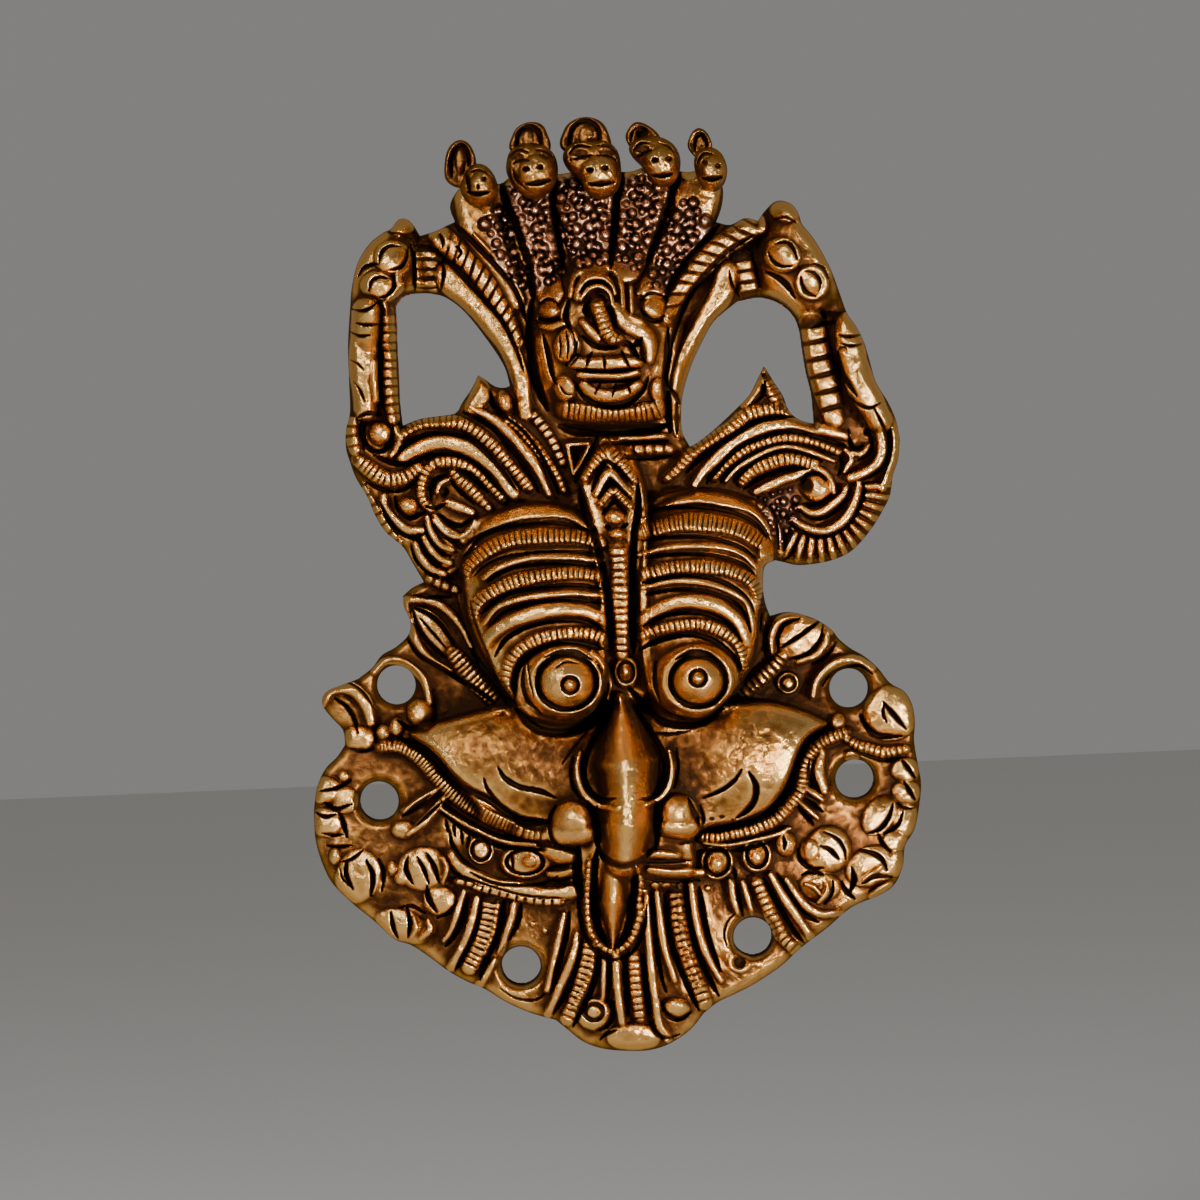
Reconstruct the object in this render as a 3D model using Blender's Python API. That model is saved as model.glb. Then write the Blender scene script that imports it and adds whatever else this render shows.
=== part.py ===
"""A brass wall hanging, one casting: a guardian face under a five-headed snake hood.

The front is drawn on a square sheet, SHEET units wide and high, x to the right and y down. The
sheet is a view in perspective, so a point that stands off the wall is drawn further from the
sheet's centre than it is. Depths off the wall plane are in DEPTH_UNIT.
"""

import math
from collections import namedtuple

import bpy
import numpy as np
from mathutils.geometry import delaunay_2d_cdt

# Driving dimensions, in metres
HEIGHT = 0.234
WALL = 0.004
RIM = 0.005
PLATE = 0.007
HOLE_DIAMETER = 0.010
EAR_THICKNESS = 0.0026

# The sheet
SHEET = 1200
UNITS_PER_HEIGHT = 918
UNIT = HEIGHT / UNITS_PER_HEIGHT
VIEW_DISTANCE = 3.85 * HEIGHT
LEAN = math.radians(2.4)
MOUNT_AT = (592, 215)
DEPTHS_PER_HEIGHT = 234
DEPTH_UNIT = HEIGHT / DEPTHS_PER_HEIGHT

# How finely the surfaces are faceted, in sheet units
EDGE_STEP = 17
STROKE_STEP = 17
FILL_STEP = 27
BACK_STEP = 32
LEAST_GAP = 5
MERGE_GAP = 1
BACK_MERGE_GAP = 1e-7
CURVE_STEPS = 8
HOLE_SIDES = 16
SMALL_BOSS_SIDES = 8
BOSS_SIDES = 12
BOSS_RINGS = (1, 0.55)
SPINE_LINES = (0, 0.6, 1)

# How the forms meet
BLEND_POWER = 6
CLIFF = 7
HOLLOW_DRAFT = 1.3
HOLLOW_SHOULDER = 0.003
WALL_PROBES = 8
PROBE_REACHES = (WALL, WALL + BACK_STEP * UNIT / 4)
PERSPECTIVE_PASSES = 3

Form = namedtuple("Form", "centre radii top")
Terrace = namedtuple("Terrace", "edge forms")
Stroke = namedtuple("Stroke", "points width rise")
Boss = namedtuple("Boss", "centre radii rise")
Head = namedtuple("Head", "centre radii snout ear_centre ear_radii")

# Outline, clockwise from the left foot of the hood, in smooth runs that meet at corners
OUTLINE = [
    [
        (455, 222), (450, 205), (464, 180), (500, 160), (560, 150), (640, 148), (700, 158), (722, 185),
        (718, 222),
    ],
    [(718, 222), (740, 221), (760, 221)],
    [
        (760, 221), (775, 205), (795, 208), (812, 240), (832, 275), (848, 315), (862, 342), (876, 382),
        (895, 415),
    ],
    [(895, 415), (898, 445), (892, 480), (882, 512), (858, 545), (825, 562), (785, 562)],
    [(785, 562), (764, 568), (762, 592), (772, 617)],
    [
        (772, 617), (802, 615), (832, 632), (862, 656), (893, 686), (912, 706), (915, 738), (921, 780),
        (915, 828),
    ],
    [(915, 828), (903, 865), (880, 895), (827, 928), (756, 983), (716, 1003)],
    [(716, 1003), (696, 1024), (668, 1044), (632, 1051), (596, 1046), (567, 1029), (545, 1017)],
    [
        (545, 1017), (506, 1002), (447, 970), (394, 939), (345, 897), (322, 862), (314, 812), (322, 772),
        (343, 745),
    ],
    [(343, 745), (330, 716), (322, 702), (340, 685), (375, 662), (404, 636), (403, 597)],
    [(403, 597), (424, 582)],
    [(424, 582), (400, 545), (372, 502), (352, 465), (346, 435)],
    [(346, 435), (351, 395), (349, 345), (352, 290), (362, 256), (380, 232)],
    [(380, 232), (400, 220), (418, 238)],
    [(418, 238), (438, 231), (455, 222)],
]

# The two large gaps between the arms and the hood
LEFT_GAP = [
    [(392, 303), (420, 291), (455, 303), (484, 336), (505, 368), (509, 386)],
    [(509, 386), (495, 386), (478, 376)],
    [(478, 376), (466, 398), (455, 413), (402, 426)],
    [(402, 426), (398, 370), (392, 303)],
]
RIGHT_GAP = [
    [(740, 299), (772, 299), (797, 318), (808, 372), (815, 424)],
    [(815, 424), (786, 406), (764, 367)],
    [(764, 367), (750, 396), (715, 428), (688, 446)],
    [(688, 446), (683, 400), (704, 336), (740, 299)],
]
HOLES = [(396, 685), (379, 801), (521, 966), (753, 937), (849, 688), (855, 779)]

# The hollow at the back reaches this far, less a RIM along every border
HOLLOW = [
    (610, 272), (672, 300), (690, 400), (760, 432), (860, 430), (920, 450), (905, 540), (800, 590),
    (935, 690), (945, 860), (800, 990), (632, 1070), (460, 990), (290, 880), (295, 690), (390, 600),
    (330, 500), (335, 445), (440, 430), (530, 405), (545, 300),
]

# The broad low forms that everything else stands on
CROWN = Form((620, 455), (320, 340), 13)
BEARD = Form((625, 850), (315, 215), 18)
SMALL_FACE = Form((609, 345), (84, 100), 27)
LEFT_ARM = Form((382, 285), (46, 74), 19)
RIGHT_ARM = Form((800, 262), (48, 70), 19)

# The high forms, each stopped by the edge of its terrace
FACE = Terrace(
    [
        (408, 733), (450, 716), (520, 700), (620, 690), (710, 700), (775, 700), (829, 722), (806, 743),
        (786, 790), (756, 822), (700, 834), (693, 880), (620, 900), (560, 890), (505, 878), (455, 848),
        (478, 815), (455, 785), (432, 755),
    ],
    [
        Form((520, 760), (140, 78), 33),
        Form((735, 755), (132, 86), 33),
        Form((625, 815), (130, 92), 34),
    ],
)
LEFT_BROW = Terrace(
    [
        (462, 535), (505, 506), (552, 502), (592, 520), (608, 570), (611, 640), (606, 700), (575, 727),
        (532, 722), (505, 695), (474, 640), (461, 590),
    ],
    [Form((548, 628), (108, 138), 36), Form((566, 683), (62, 56), 38)],
)
RIGHT_BROW = Terrace(
    [
        (642, 515), (690, 490), (740, 495), (772, 520), (777, 560), (763, 605), (756, 655), (734, 697),
        (700, 722), (662, 712), (640, 680), (634, 600), (638, 550),
    ],
    [Form((700, 615), (100, 138), 36), Form((697, 680), (60, 56), 38)],
)
BRIDGE = Terrace(
    [
        (600, 432), (632, 450), (650, 500), (652, 600), (655, 690), (625, 705), (595, 695), (596, 600),
        (585, 520), (576, 470),
    ],
    [Form((619, 590), (90, 185), 29)],
)

# Strokes are raised rolls, or grooves where the rise is below zero: width in sheet units, rise in depth
HOOD_STROKES = [
    Stroke([(507, 207), (519, 245), (531, 295)], (9, 7), -1.6),
    Stroke([(553, 200), (558, 235), (565, 272)], (9, 7), -1.6),
    Stroke([(617, 200), (613, 230), (612, 262)], (9, 7), -1.6),
    Stroke([(670, 200), (660, 230), (641, 280)], (9, 7), -1.6),
    Stroke([(440, 240), (465, 258), (492, 293), (517, 340)], (24, 14), 3.5),
    Stroke([(443, 280), (480, 306), (508, 348), (523, 400)], (20, 14), 3.0),
    Stroke([(752, 228), (720, 248), (690, 280), (670, 312)], (24, 14), 3.5),
    Stroke([(733, 270), (705, 320), (684, 370), (680, 425)], (20, 14), 3.0),
    Stroke([(427, 246), (427, 288)], (20, 20), 2.5),
    Stroke([(740, 260), (750, 292)], (18, 18), 2.0),
]
SMALL_FACE_STROKES = [
    Stroke([(600, 300), (604, 318), (615, 335)], (14, 18), 4.0),
    Stroke([(630, 328), (648, 334), (652, 354)], (12, 12), 3.0),
    Stroke([(562, 330), (566, 346), (567, 362)], (20, 22), 2.2),
    Stroke([(577, 296), (588, 278), (607, 277), (616, 294)], (10, 10), 2.4),
    Stroke([(629, 291), (648, 279), (672, 288)], (9, 9), 2.0),
    Stroke([(532, 291), (550, 282), (567, 292)], (9, 9), 2.0),
    Stroke([(585, 371), (609, 375), (634, 370)], (11, 11), 3.0),
    Stroke([(588, 388), (609, 392), (632, 387)], (13, 13), 1.8),
    Stroke([(563, 402), (585, 415), (612, 420), (640, 414), (660, 401)], (14, 14), 2.6),
]
FOREHEAD_STROKES = [
    Stroke([(586, 475), (592, 456), (605, 447), (619, 456), (632, 475)], (12, 12), 3.0),
    Stroke([(610, 472), (614, 500), (616, 530)], (15, 11), 3.0),
    Stroke([(618, 545), (620, 600), (622, 652)], (19, 16), 4.0),
    Stroke([(578, 470), (598, 540), (611, 650)], (10, 8), -2.5),
    Stroke([(640, 475), (636, 540), (637, 655)], (10, 8), -2.5),
    Stroke([(616, 438), (640, 437), (666, 433)], (11, 11), 2.0),
]
BROW_STROKES = [
    Stroke([(468, 533), (510, 511), (550, 509), (586, 526)], (12, 12), 2.4),
    Stroke([(464, 572), (505, 541), (550, 535), (590, 545)], (13, 13), 2.4),
    Stroke([(475, 617), (498, 585), (550, 573), (597, 578)], (13, 12), 2.4),
    Stroke([(490, 640), (520, 616), (560, 607), (600, 622)], (13, 13), 2.4),
    Stroke([(505, 690), (509, 660), (537, 636), (575, 632), (602, 640)], (11, 11), 2.2),
    Stroke([(648, 510), (690, 495), (745, 503), (776, 545)], (12, 12), 2.4),
    Stroke([(648, 530), (685, 522), (735, 530), (762, 546)], (14, 14), 2.4),
    Stroke([(658, 571), (695, 566), (740, 575), (763, 608)], (12, 12), 2.4),
    Stroke([(650, 614), (690, 601), (730, 613), (747, 634)], (13, 13), 2.4),
    Stroke([(648, 632), (690, 625), (728, 634), (742, 660)], (11, 11), 2.2),
]
FACE_STROKES = [
    Stroke([(497, 768), (515, 784), (556, 797)], (7, 7), -2.0),
    Stroke([(486, 782), (500, 805), (545, 825)], (7, 7), -2.0),
    Stroke([(743, 769), (722, 791), (700, 799)], (7, 7), -2.0),
    Stroke([(749, 773), (757, 793), (740, 816)], (7, 7), -2.0),
    Stroke([(503, 700), (548, 732), (598, 716)], (9, 9), -2.5),
    Stroke([(655, 722), (700, 726), (728, 704)], (9, 9), -2.5),
    Stroke([(575, 768), (582, 792), (614, 803)], (8, 8), -3.0),
    Stroke([(664, 768), (660, 790), (642, 799)], (8, 8), -3.0),
    Stroke([(385, 745), (430, 769), (473, 813), (540, 838)], (13, 13), 3.0),
    Stroke([(842, 736), (805, 762), (787, 812), (705, 836)], (12, 12), 3.0),
    Stroke([(452, 856), (480, 876), (520, 887), (569, 888)], (13, 13), 3.0),
    Stroke([(653, 870), (675, 873), (699, 872)], (13, 13), 3.0),
]
LEFT_WING_STROKES = [
    Stroke([(355, 455), (378, 473), (415, 471)], (14, 10), 3.0),
    Stroke([(398, 433), (445, 421), (490, 441), (530, 485)], (12, 12), 3.0),
    Stroke([(478, 413), (520, 447), (550, 495)], (9, 9), 2.6),
    Stroke([(512, 420), (545, 457), (560, 497)], (8, 8), 2.2),
    Stroke([(403, 455), (440, 443), (480, 453), (513, 498)], (13, 8), 2.4),
    Stroke([(430, 500), (424, 474), (450, 461), (498, 496)], (9, 9), 2.6),
    Stroke([(385, 495), (398, 522), (425, 524)], (11, 9), 2.6),
    Stroke([(440, 522), (452, 540), (478, 515)], (11, 9), 2.4),
]
RIGHT_WING_STROKES = [
    Stroke([(670, 475), (705, 442), (750, 413), (787, 412)], (12, 12), 3.0),
    Stroke([(690, 482), (735, 437), (785, 424), (845, 437)], (11, 11), 2.6),
    Stroke([(713, 480), (755, 445), (800, 439), (835, 450)], (8, 8), 2.2),
    Stroke([(745, 475), (780, 459), (812, 462)], (11, 11), 2.6),
    Stroke([(848, 437), (860, 453), (874, 438)], (9, 9), 2.6),
    Stroke([(875, 405), (888, 440), (862, 478)], (14, 12), 2.6),
    Stroke([(857, 485), (838, 524), (797, 522)], (9, 9), 2.4),
    Stroke([(812, 468), (832, 485), (803, 500)], (8, 8), 2.2),
]
SIDE_STROKES = [
    Stroke([(366, 312), (363, 350), (364, 412)], (30, 26), 9.0),
    Stroke([(849, 328), (853, 362), (878, 410)], (30, 30), 9.0),
    Stroke([(404, 600), (407, 628), (452, 660), (492, 702)], (12, 12), 3.0),
    Stroke([(408, 600), (440, 612), (470, 655)], (11, 9), 3.0),
    Stroke([(773, 645), (778, 618), (815, 622)], (9, 9), 2.6),
    Stroke([(727, 704), (755, 682), (783, 658)], (11, 11), 3.0),
    Stroke([(812, 693), (825, 668), (845, 659), (872, 678)], (10, 10), 2.6),
    Stroke([(335, 693), (355, 700), (362, 730)], (18, 12), 3.5),
    Stroke([(360, 742), (385, 730), (402, 716)], (12, 12), 2.6),
    Stroke([(852, 742), (878, 751), (905, 748)], (12, 12), 2.6),
    Stroke([(895, 700), (903, 722)], (24, 20), 2.6),
    Stroke([(912, 765), (915, 800), (905, 840)], (14, 14), 2.6),
    Stroke([(328, 775), (324, 815), (334, 860)], (18, 18), 2.6),
    Stroke([(402, 835), (428, 815), (440, 800)], (10, 8), 2.6),
    Stroke([(803, 786), (818, 800), (826, 820)], (10, 8), 2.6),
]
BEARD_STROKES = [
    Stroke([(474, 899), (466, 928), (452, 962)], (9, 8), 2.4),
    Stroke([(499, 899), (491, 925), (468, 966)], (16, 16), 2.2),
    Stroke([(514, 904), (503, 935), (480, 982)], (7, 7), 2.4),
    Stroke([(565, 918), (558, 950), (549, 985)], (7, 7), 2.4),
    Stroke([(577, 937), (568, 970), (553, 1010)], (8, 8), 2.4),
    Stroke([(589, 945), (583, 975), (573, 1008)], (14, 14), 2.2),
    Stroke([(604, 958), (603, 990)], (7, 7), 2.4),
    Stroke([(617, 956), (618, 985), (622, 1017)], (9, 9), 2.6),
    Stroke([(635, 955), (638, 985), (640, 1016)], (12, 12), 2.2),
    Stroke([(647, 893), (649, 945), (660, 1020)], (7, 9), 2.4),
    Stroke([(657, 893), (662, 935), (672, 976)], (8, 8), 2.4),
    Stroke([(674, 893), (684, 935), (704, 998)], (15, 15), 2.2),
    Stroke([(690, 886), (700, 935), (720, 978)], (7, 7), 2.4),
    Stroke([(735, 884), (744, 908)], (7, 7), 2.2),
    Stroke([(757, 882), (771, 912), (796, 946)], (14, 14), 2.2),
    Stroke([(770, 875), (785, 908), (804, 936)], (8, 8), 2.4),
    Stroke([(787, 882), (800, 908), (823, 921)], (8, 8), 2.2),
    Stroke([(586, 865), (587, 912), (613, 950), (636, 912), (638, 872)], (9, 9), 2.6),
]


def fan(centre, angles, radii, width, rise):
    """Straight strokes that spread from a centre, one at each angle in degrees."""
    strokes = []
    for angle in angles:
        way = np.array([math.cos(math.radians(angle)), math.sin(math.radians(angle))])
        line = [tuple(np.array(centre) + way * radius) for radius in radii]
        strokes.append(Stroke(line, (width, width), rise))
    return strokes


FEATHERS = (
    fan((420, 500), range(20, 140, 24), (34, 66), 10, 2.0)
    + fan((817, 490), range(5, 130, 20), (44, 66), 10, 2.0)
)
STROKES = (
    HOOD_STROKES + SMALL_FACE_STROKES + FOREHEAD_STROKES + BROW_STROKES + FACE_STROKES
    + LEFT_WING_STROKES + RIGHT_WING_STROKES + FEATHERS + SIDE_STROKES + BEARD_STROKES
)

# The nose: places on its ridge with their half-widths and depths
NOSE_RIDGE = [(620, 697), (623, 735), (629, 780), (635, 825), (636, 852)]
NOSE_HALF_WIDTHS = [10, 28, 40, 42, 30]
NOSE_DEPTHS = [30, 38, 46, 51, 46]
# The tongue, a blade that hangs from the mouth
TONGUE_LINE = [(613, 858), (613, 895), (613, 948)]
TONGUE_HALF_WIDTHS = [15, 16, 2]
TONGUE_DEPTHS = [27, 28, 19]

BOSSES = [
    Boss((546, 309), (12, 12), 4.0),
    Boss((656, 305), (12, 12), 4.0),
    Boss((393, 259), (15, 14), 3.5),
    Boss((376, 284), (15, 14), 3.5),
    Boss((783, 256), (15, 14), 3.5),
    Boss((811, 283), (15, 14), 3.5),
    Boss((380, 433), (13, 13), 3.0),
    Boss((817, 488), (13, 13), 3.0),
    Boss((410, 501), (12, 12), 3.0),
    Boss((567, 681), (25, 25), 2.6),
    Boss((698, 680), (25, 25), 2.6),
    Boss((626, 672), (14, 17), 3.0),
    Boss((577, 826), (28, 30), 9.0),
    Boss((676, 816), (23, 30), 8.0),
    Boss((422, 715), (12, 12), 3.5),
    Boss((435, 635), (16, 24), 3.0),
    Boss((803, 640), (26, 20), 3.5),
    Boss((425, 870), (18, 20), 3.0),
    Boss((362, 872), (18, 24), 3.0),
    Boss((402, 922), (20, 14), 2.6),
    Boss((442, 900), (14, 14), 2.6),
    Boss((820, 880), (18, 16), 3.0),
    Boss((830, 850), (18, 16), 2.6),
    Boss((880, 862), (22, 16), 2.6),
    Boss((884, 822), (18, 16), 2.6),
    Boss((482, 850), (9, 11), 3.0),
    Boss((515, 860), (22, 12), 3.0),
    Boss((717, 861), (13, 12), 3.0),
    Boss((757, 857), (13, 12), 3.0),
    Boss((786, 843), (8, 11), 3.0),
    Boss((595, 1013), (14, 13), 3.0),
    Boss((676, 1009), (14, 12), 3.0),
    Boss((634, 1036), (24, 12), 2.6),
]

# The snake heads stand out from the top of the hood, each with a horseshoe ear
HEADS = [
    Head((479, 184), (18, 19), (4, 8), (464, 165), (13, 24)),
    Head((533, 170), (25, 24), (1, 8), (532, 148), (15, 25)),
    Head((593, 168), (28, 25), (2, 8), (586, 147), (21, 28)),
    Head((655, 161), (25, 23), (5, 8), (643, 144), (15, 20)),
    Head((708, 167), (17, 20), (4, 8), (700, 151), (11, 20)),
]
# Cross-sections of a head from its neck to its snout: depth, drop on the sheet and share of its radii
HEAD_SECTIONS = [(4, 30, 0.74), (12, 14, 0.92), (19, 3, 1.0), (25, 0, 0.96), (29, 2, 0.78), (32, 4, 0.46)]
BEND_START = 19
BEND_END = 32
HEAD_SIDES = 12
EAR_DEPTH = 18
EAR_TURN = math.radians(230)
EAR_STEPS = 8
EAR_SIDES = 6


def clear_scene():
    for thing in list(bpy.data.objects):
        bpy.data.objects.remove(thing)


def resampled(points, spacing):
    """Points at even steps along a line of straight pieces."""
    lengths = np.linalg.norm(np.diff(points, axis=0), axis=1)
    travel = np.concatenate([[0], np.cumsum(lengths)])
    count = max(1, round(travel[-1] / spacing))
    stops = np.linspace(0, travel[-1], count + 1)
    return np.column_stack([np.interp(stops, travel, column) for column in points.T])


def smooth_curve(points, spacing, closed=False):
    """Evenly spaced points on a Catmull-Rom curve through the given points."""
    points = np.array(points, dtype=float)
    if closed:
        padded = np.vstack([points[-1], points, points[0], points[1]])
    else:
        padded = np.vstack([2 * points[0] - points[1], points, 2 * points[-1] - points[-2]])
    dense = []
    for before, start, end, after in zip(padded, padded[1:], padded[2:], padded[3:]):
        for share in np.arange(CURVE_STEPS) / CURVE_STEPS:
            slope = (end - before) * share
            bend = (2 * before - 5 * start + 4 * end - after) * share**2
            twist = (3 * start - before - 3 * end + after) * share**3
            dense.append(start + (slope + bend + twist) / 2)
    dense.append(padded[-2])
    return resampled(np.array(dense), spacing)


def loop_of_runs(runs):
    """One closed loop from smooth runs, each of which ends where the next begins."""
    return np.vstack([smooth_curve(run, EDGE_STEP)[:-1] for run in runs])


def closed_curve(points, spacing):
    return smooth_curve(points, spacing, closed=True)[:-1]


def ellipse(centre, radii, count):
    turns = np.arange(count) * math.tau / count
    return np.array(centre) + np.column_stack([np.cos(turns), np.sin(turns)]) * radii


def nearest_on(path, where):
    """Distance from each place to a path, and how far along the path its nearest point is, 0 to 1."""
    starts = path[:-1]
    steps = np.diff(path, axis=0)
    lengths = np.linalg.norm(steps, axis=1)
    travel = np.concatenate([[0], np.cumsum(lengths)])
    offsets = where[:, None, :] - starts[None, :, :]
    shares = np.clip((offsets * steps).sum(axis=2) / lengths**2, 0, 1)
    distances = np.linalg.norm(offsets - shares[:, :, None] * steps, axis=2)
    best = distances.argmin(axis=1)
    rows = np.arange(len(where))
    along = (travel[best] + shares[rows, best] * lengths[best]) / travel[-1]
    return distances[rows, best], along


def is_inside(loop, where):
    """Whether each place is inside a closed loop, by counting crossings to its right."""
    ends = np.roll(loop, -1, axis=0)
    inside = np.zeros(len(where), dtype=bool)
    for (x1, y1), (x2, y2) in zip(loop, ends):
        if y1 == y2:
            continue
        crosses = (y1 > where[:, 1]) != (y2 > where[:, 1])
        meets_at = x1 + (where[:, 1] - y1) * (x2 - x1) / (y2 - y1)
        inside ^= crosses & (where[:, 0] < meets_at)
    return inside


def inset_distance(loop, where):
    """Distance inside a closed loop, and zero outside it."""
    distance, _ = nearest_on(np.vstack([loop, loop[:1]]), where)
    return np.where(is_inside(loop, where), distance, 0)


def half_ellipsoid(where, centre, radii, top):
    reach = (((where - centre) / radii) ** 2).sum(axis=1)
    return top * np.sqrt(np.clip(1 - reach, 0, None))


def blended(depths):
    """The highest of several depths, with soft valleys where they meet."""
    return (np.array(depths) ** BLEND_POWER).sum(axis=0) ** (1 / BLEND_POWER)


def terrace_edge(terrace):
    return closed_curve(terrace.edge, STROKE_STEP)


def broad_depth(where, terraces):
    """Depth of the broad forms, without the carving on them."""
    flats = [np.full(len(where), PLATE / DEPTH_UNIT)]
    low_forms = [half_ellipsoid(where, *form) for form in (CROWN, BEARD, SMALL_FACE, LEFT_ARM, RIGHT_ARM)]
    depth = blended(flats + low_forms)
    for terrace in terraces:
        raised = blended([depth] + [half_ellipsoid(where, *form) for form in terrace.forms])
        share = np.clip(inset_distance(terrace_edge(terrace), where) / CLIFF, 0, 1)
        depth = depth + (raised - depth) * share
    return depth


def spine_depth(where, line, half_widths, depths):
    """Depth of a rounded spine whose width and depth change along its line."""
    distance, along = nearest_on(smooth_curve(line, STROKE_STEP), where)
    stops = np.linspace(0, 1, len(half_widths))
    reach = distance / np.interp(along, stops, half_widths)
    return np.interp(along, stops, depths) * np.sqrt(np.clip(1 - reach**2, 0, None))


def stroke_width(stroke, along):
    start, end = stroke.width
    return start + (end - start) * along


def front_depth(where):
    """Depth of the carved front."""
    depth = broad_depth(where, (FACE, LEFT_BROW, RIGHT_BROW, BRIDGE))
    for boss in BOSSES:
        depth = depth + half_ellipsoid(where, *boss)
    for stroke in STROKES:
        distance, along = nearest_on(smooth_curve(stroke.points, STROKE_STEP), where)
        reach = distance / (stroke_width(stroke, along) / 2)
        depth = depth + stroke.rise * np.sqrt(np.clip(1 - reach**2, 0, None))
    nose = spine_depth(where, NOSE_RIDGE, NOSE_HALF_WIDTHS, NOSE_DEPTHS)
    tongue = spine_depth(where, TONGUE_LINE, TONGUE_HALF_WIDTHS, TONGUE_DEPTHS)
    return blended([depth, nose, tongue])


def placed(sheet, depth):
    """Positions in metres of sheet points that stand a depth in metres off the wall plane."""
    nearness = 1 - depth / VIEW_DISTANCE
    across = (sheet[:, 0] - SHEET / 2) * UNIT * nearness
    upward = (SHEET / 2 - sheet[:, 1]) * UNIT * nearness
    x = across * math.cos(LEAN) + upward * math.sin(LEAN)
    z = upward * math.cos(LEAN) - across * math.sin(LEAN)
    return np.column_stack([x, -depth, z])


def mount_position():
    return placed(np.array([MOUNT_AT], dtype=float), np.zeros(1))[0]


def sheet_under(flat, depth):
    """Sheet points of places given by their x and z, for a surface that stands a depth off the wall."""
    nearness = 1 - depth / VIEW_DISTANCE
    across = (flat[:, 0] * math.cos(LEAN) - flat[:, 1] * math.sin(LEAN)) / nearness
    upward = (flat[:, 1] * math.cos(LEAN) + flat[:, 0] * math.sin(LEAN)) / nearness
    return np.column_stack([across / UNIT + SHEET / 2, SHEET / 2 - upward / UNIT])


def front_over(flat):
    """Depth of the broad front over places given by their x and z."""
    depth = np.zeros(len(flat))
    for _ in range(PERSPECTIVE_PASSES):
        depth = broad_depth(sheet_under(flat, depth), (FACE, LEFT_BROW, RIGHT_BROW)) * DEPTH_UNIT
    return depth


def hollow_room(flat, edge, borders):
    """How far inside the hollow each place is, where the hollow keeps a RIM away from every border."""
    room = inset_distance(edge, flat)
    for border in borders:
        distance, _ = nearest_on(np.vstack([border, border[:1]]), flat)
        room = np.minimum(room, distance - RIM)
    return room


def stretches_inside(loop, line):
    """The stretches of a line that lie inside a loop."""
    inside = is_inside(loop, line)
    cuts = np.flatnonzero(np.diff(inside.astype(int))) + 1
    return [stretch for stretch in np.split(line, cuts) if is_inside(loop, stretch[:1])[0]]


def rim_lines(edge, borders):
    """The lines that the facets of the back follow: both sides of the hollow's shoulder."""
    lines = [np.vstack([edge, edge[:1]])]
    for border in borders:
        path = resampled(np.vstack([border, border[:1]]), BACK_STEP * UNIT)
        for reach in (RIM, RIM + HOLLOW_SHOULDER):
            lines += stretches_inside(edge, side_line(path, np.full(len(path), reach)))
    return lines


def hollow_depth(flat, edge, borders):
    """Depth of the hollow at the back, which leaves a WALL of brass behind and beside it."""
    lowest = front_over(flat)
    for reach in PROBE_REACHES:
        for turn in np.arange(WALL_PROBES) * math.tau / WALL_PROBES:
            beside = flat + np.array([math.cos(turn), math.sin(turn)]) * reach
            lowest = np.minimum(lowest, front_over(beside))
    draft = hollow_room(flat, edge, borders) * HOLLOW_DRAFT
    return np.clip(np.minimum(lowest - WALL, draft), 0, None)


def side_line(path, offsets):
    """A line beside a path, each point moved off it by its own offset."""
    along = np.gradient(path, axis=0)
    along /= np.linalg.norm(along, axis=1)[:, None]
    return path + np.column_stack([-along[:, 1], along[:, 0]]) * offsets[:, None]


def carving_lines():
    """The lines that the facets of the front follow: crests, feet and the edges of forms."""
    lines = []
    for stroke in STROKES:
        path = smooth_curve(stroke.points, STROKE_STEP)
        half = stroke_width(stroke, np.linspace(0, 1, len(path))) / 2
        lines += [path, side_line(path, half), side_line(path, -half)]
    for line, half_widths in ((NOSE_RIDGE, NOSE_HALF_WIDTHS), (TONGUE_LINE, TONGUE_HALF_WIDTHS)):
        path = smooth_curve(line, STROKE_STEP)
        stops = np.linspace(0, 1, len(half_widths))
        half = np.interp(np.linspace(0, 1, len(path)), stops, half_widths)
        for share in SPINE_LINES:
            lines += [side_line(path, half * share), side_line(path, -half * share)]
    for boss in BOSSES:
        count = SMALL_BOSS_SIDES if max(boss.radii) < STROKE_STEP else BOSS_SIDES
        for share in BOSS_RINGS:
            ring = ellipse(boss.centre, np.array(boss.radii) * share, count)
            lines.append(np.vstack([ring, ring[:1]]))
    for terrace in (FACE, LEFT_BROW, RIGHT_BROW):
        edge = terrace_edge(terrace)
        edge = np.vstack([edge, edge[:1]])
        clockwise = np.sign(signed_area(edge))
        lines += [edge, side_line(edge, np.full(len(edge), CLIFF * clockwise))]
    return lines


def signed_area(loop):
    ahead = np.roll(loop, -1, axis=0)
    return (loop[:, 0] * ahead[:, 1] - ahead[:, 0] * loop[:, 1]).sum() / 2


def fill_points(low, high, step):
    """A staggered grid of points between two corners."""
    points = []
    row_height = step * math.sqrt(3) / 2
    for row in range(int((high[1] - low[1]) / row_height) + 1):
        shift = step / 2 * (row % 2)
        for column in range(int((high[0] - low[0]) / step) + 1):
            points.append((low[0] + column * step + shift, low[1] + row * row_height))
    return np.array(points)


def spaced(candidates, taken, gap):
    """The candidates that keep a gap to the taken points."""
    distances = np.linalg.norm(candidates[:, None, :] - taken[None, :, :], axis=2)
    return candidates[distances.min(axis=1) > gap]


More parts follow.
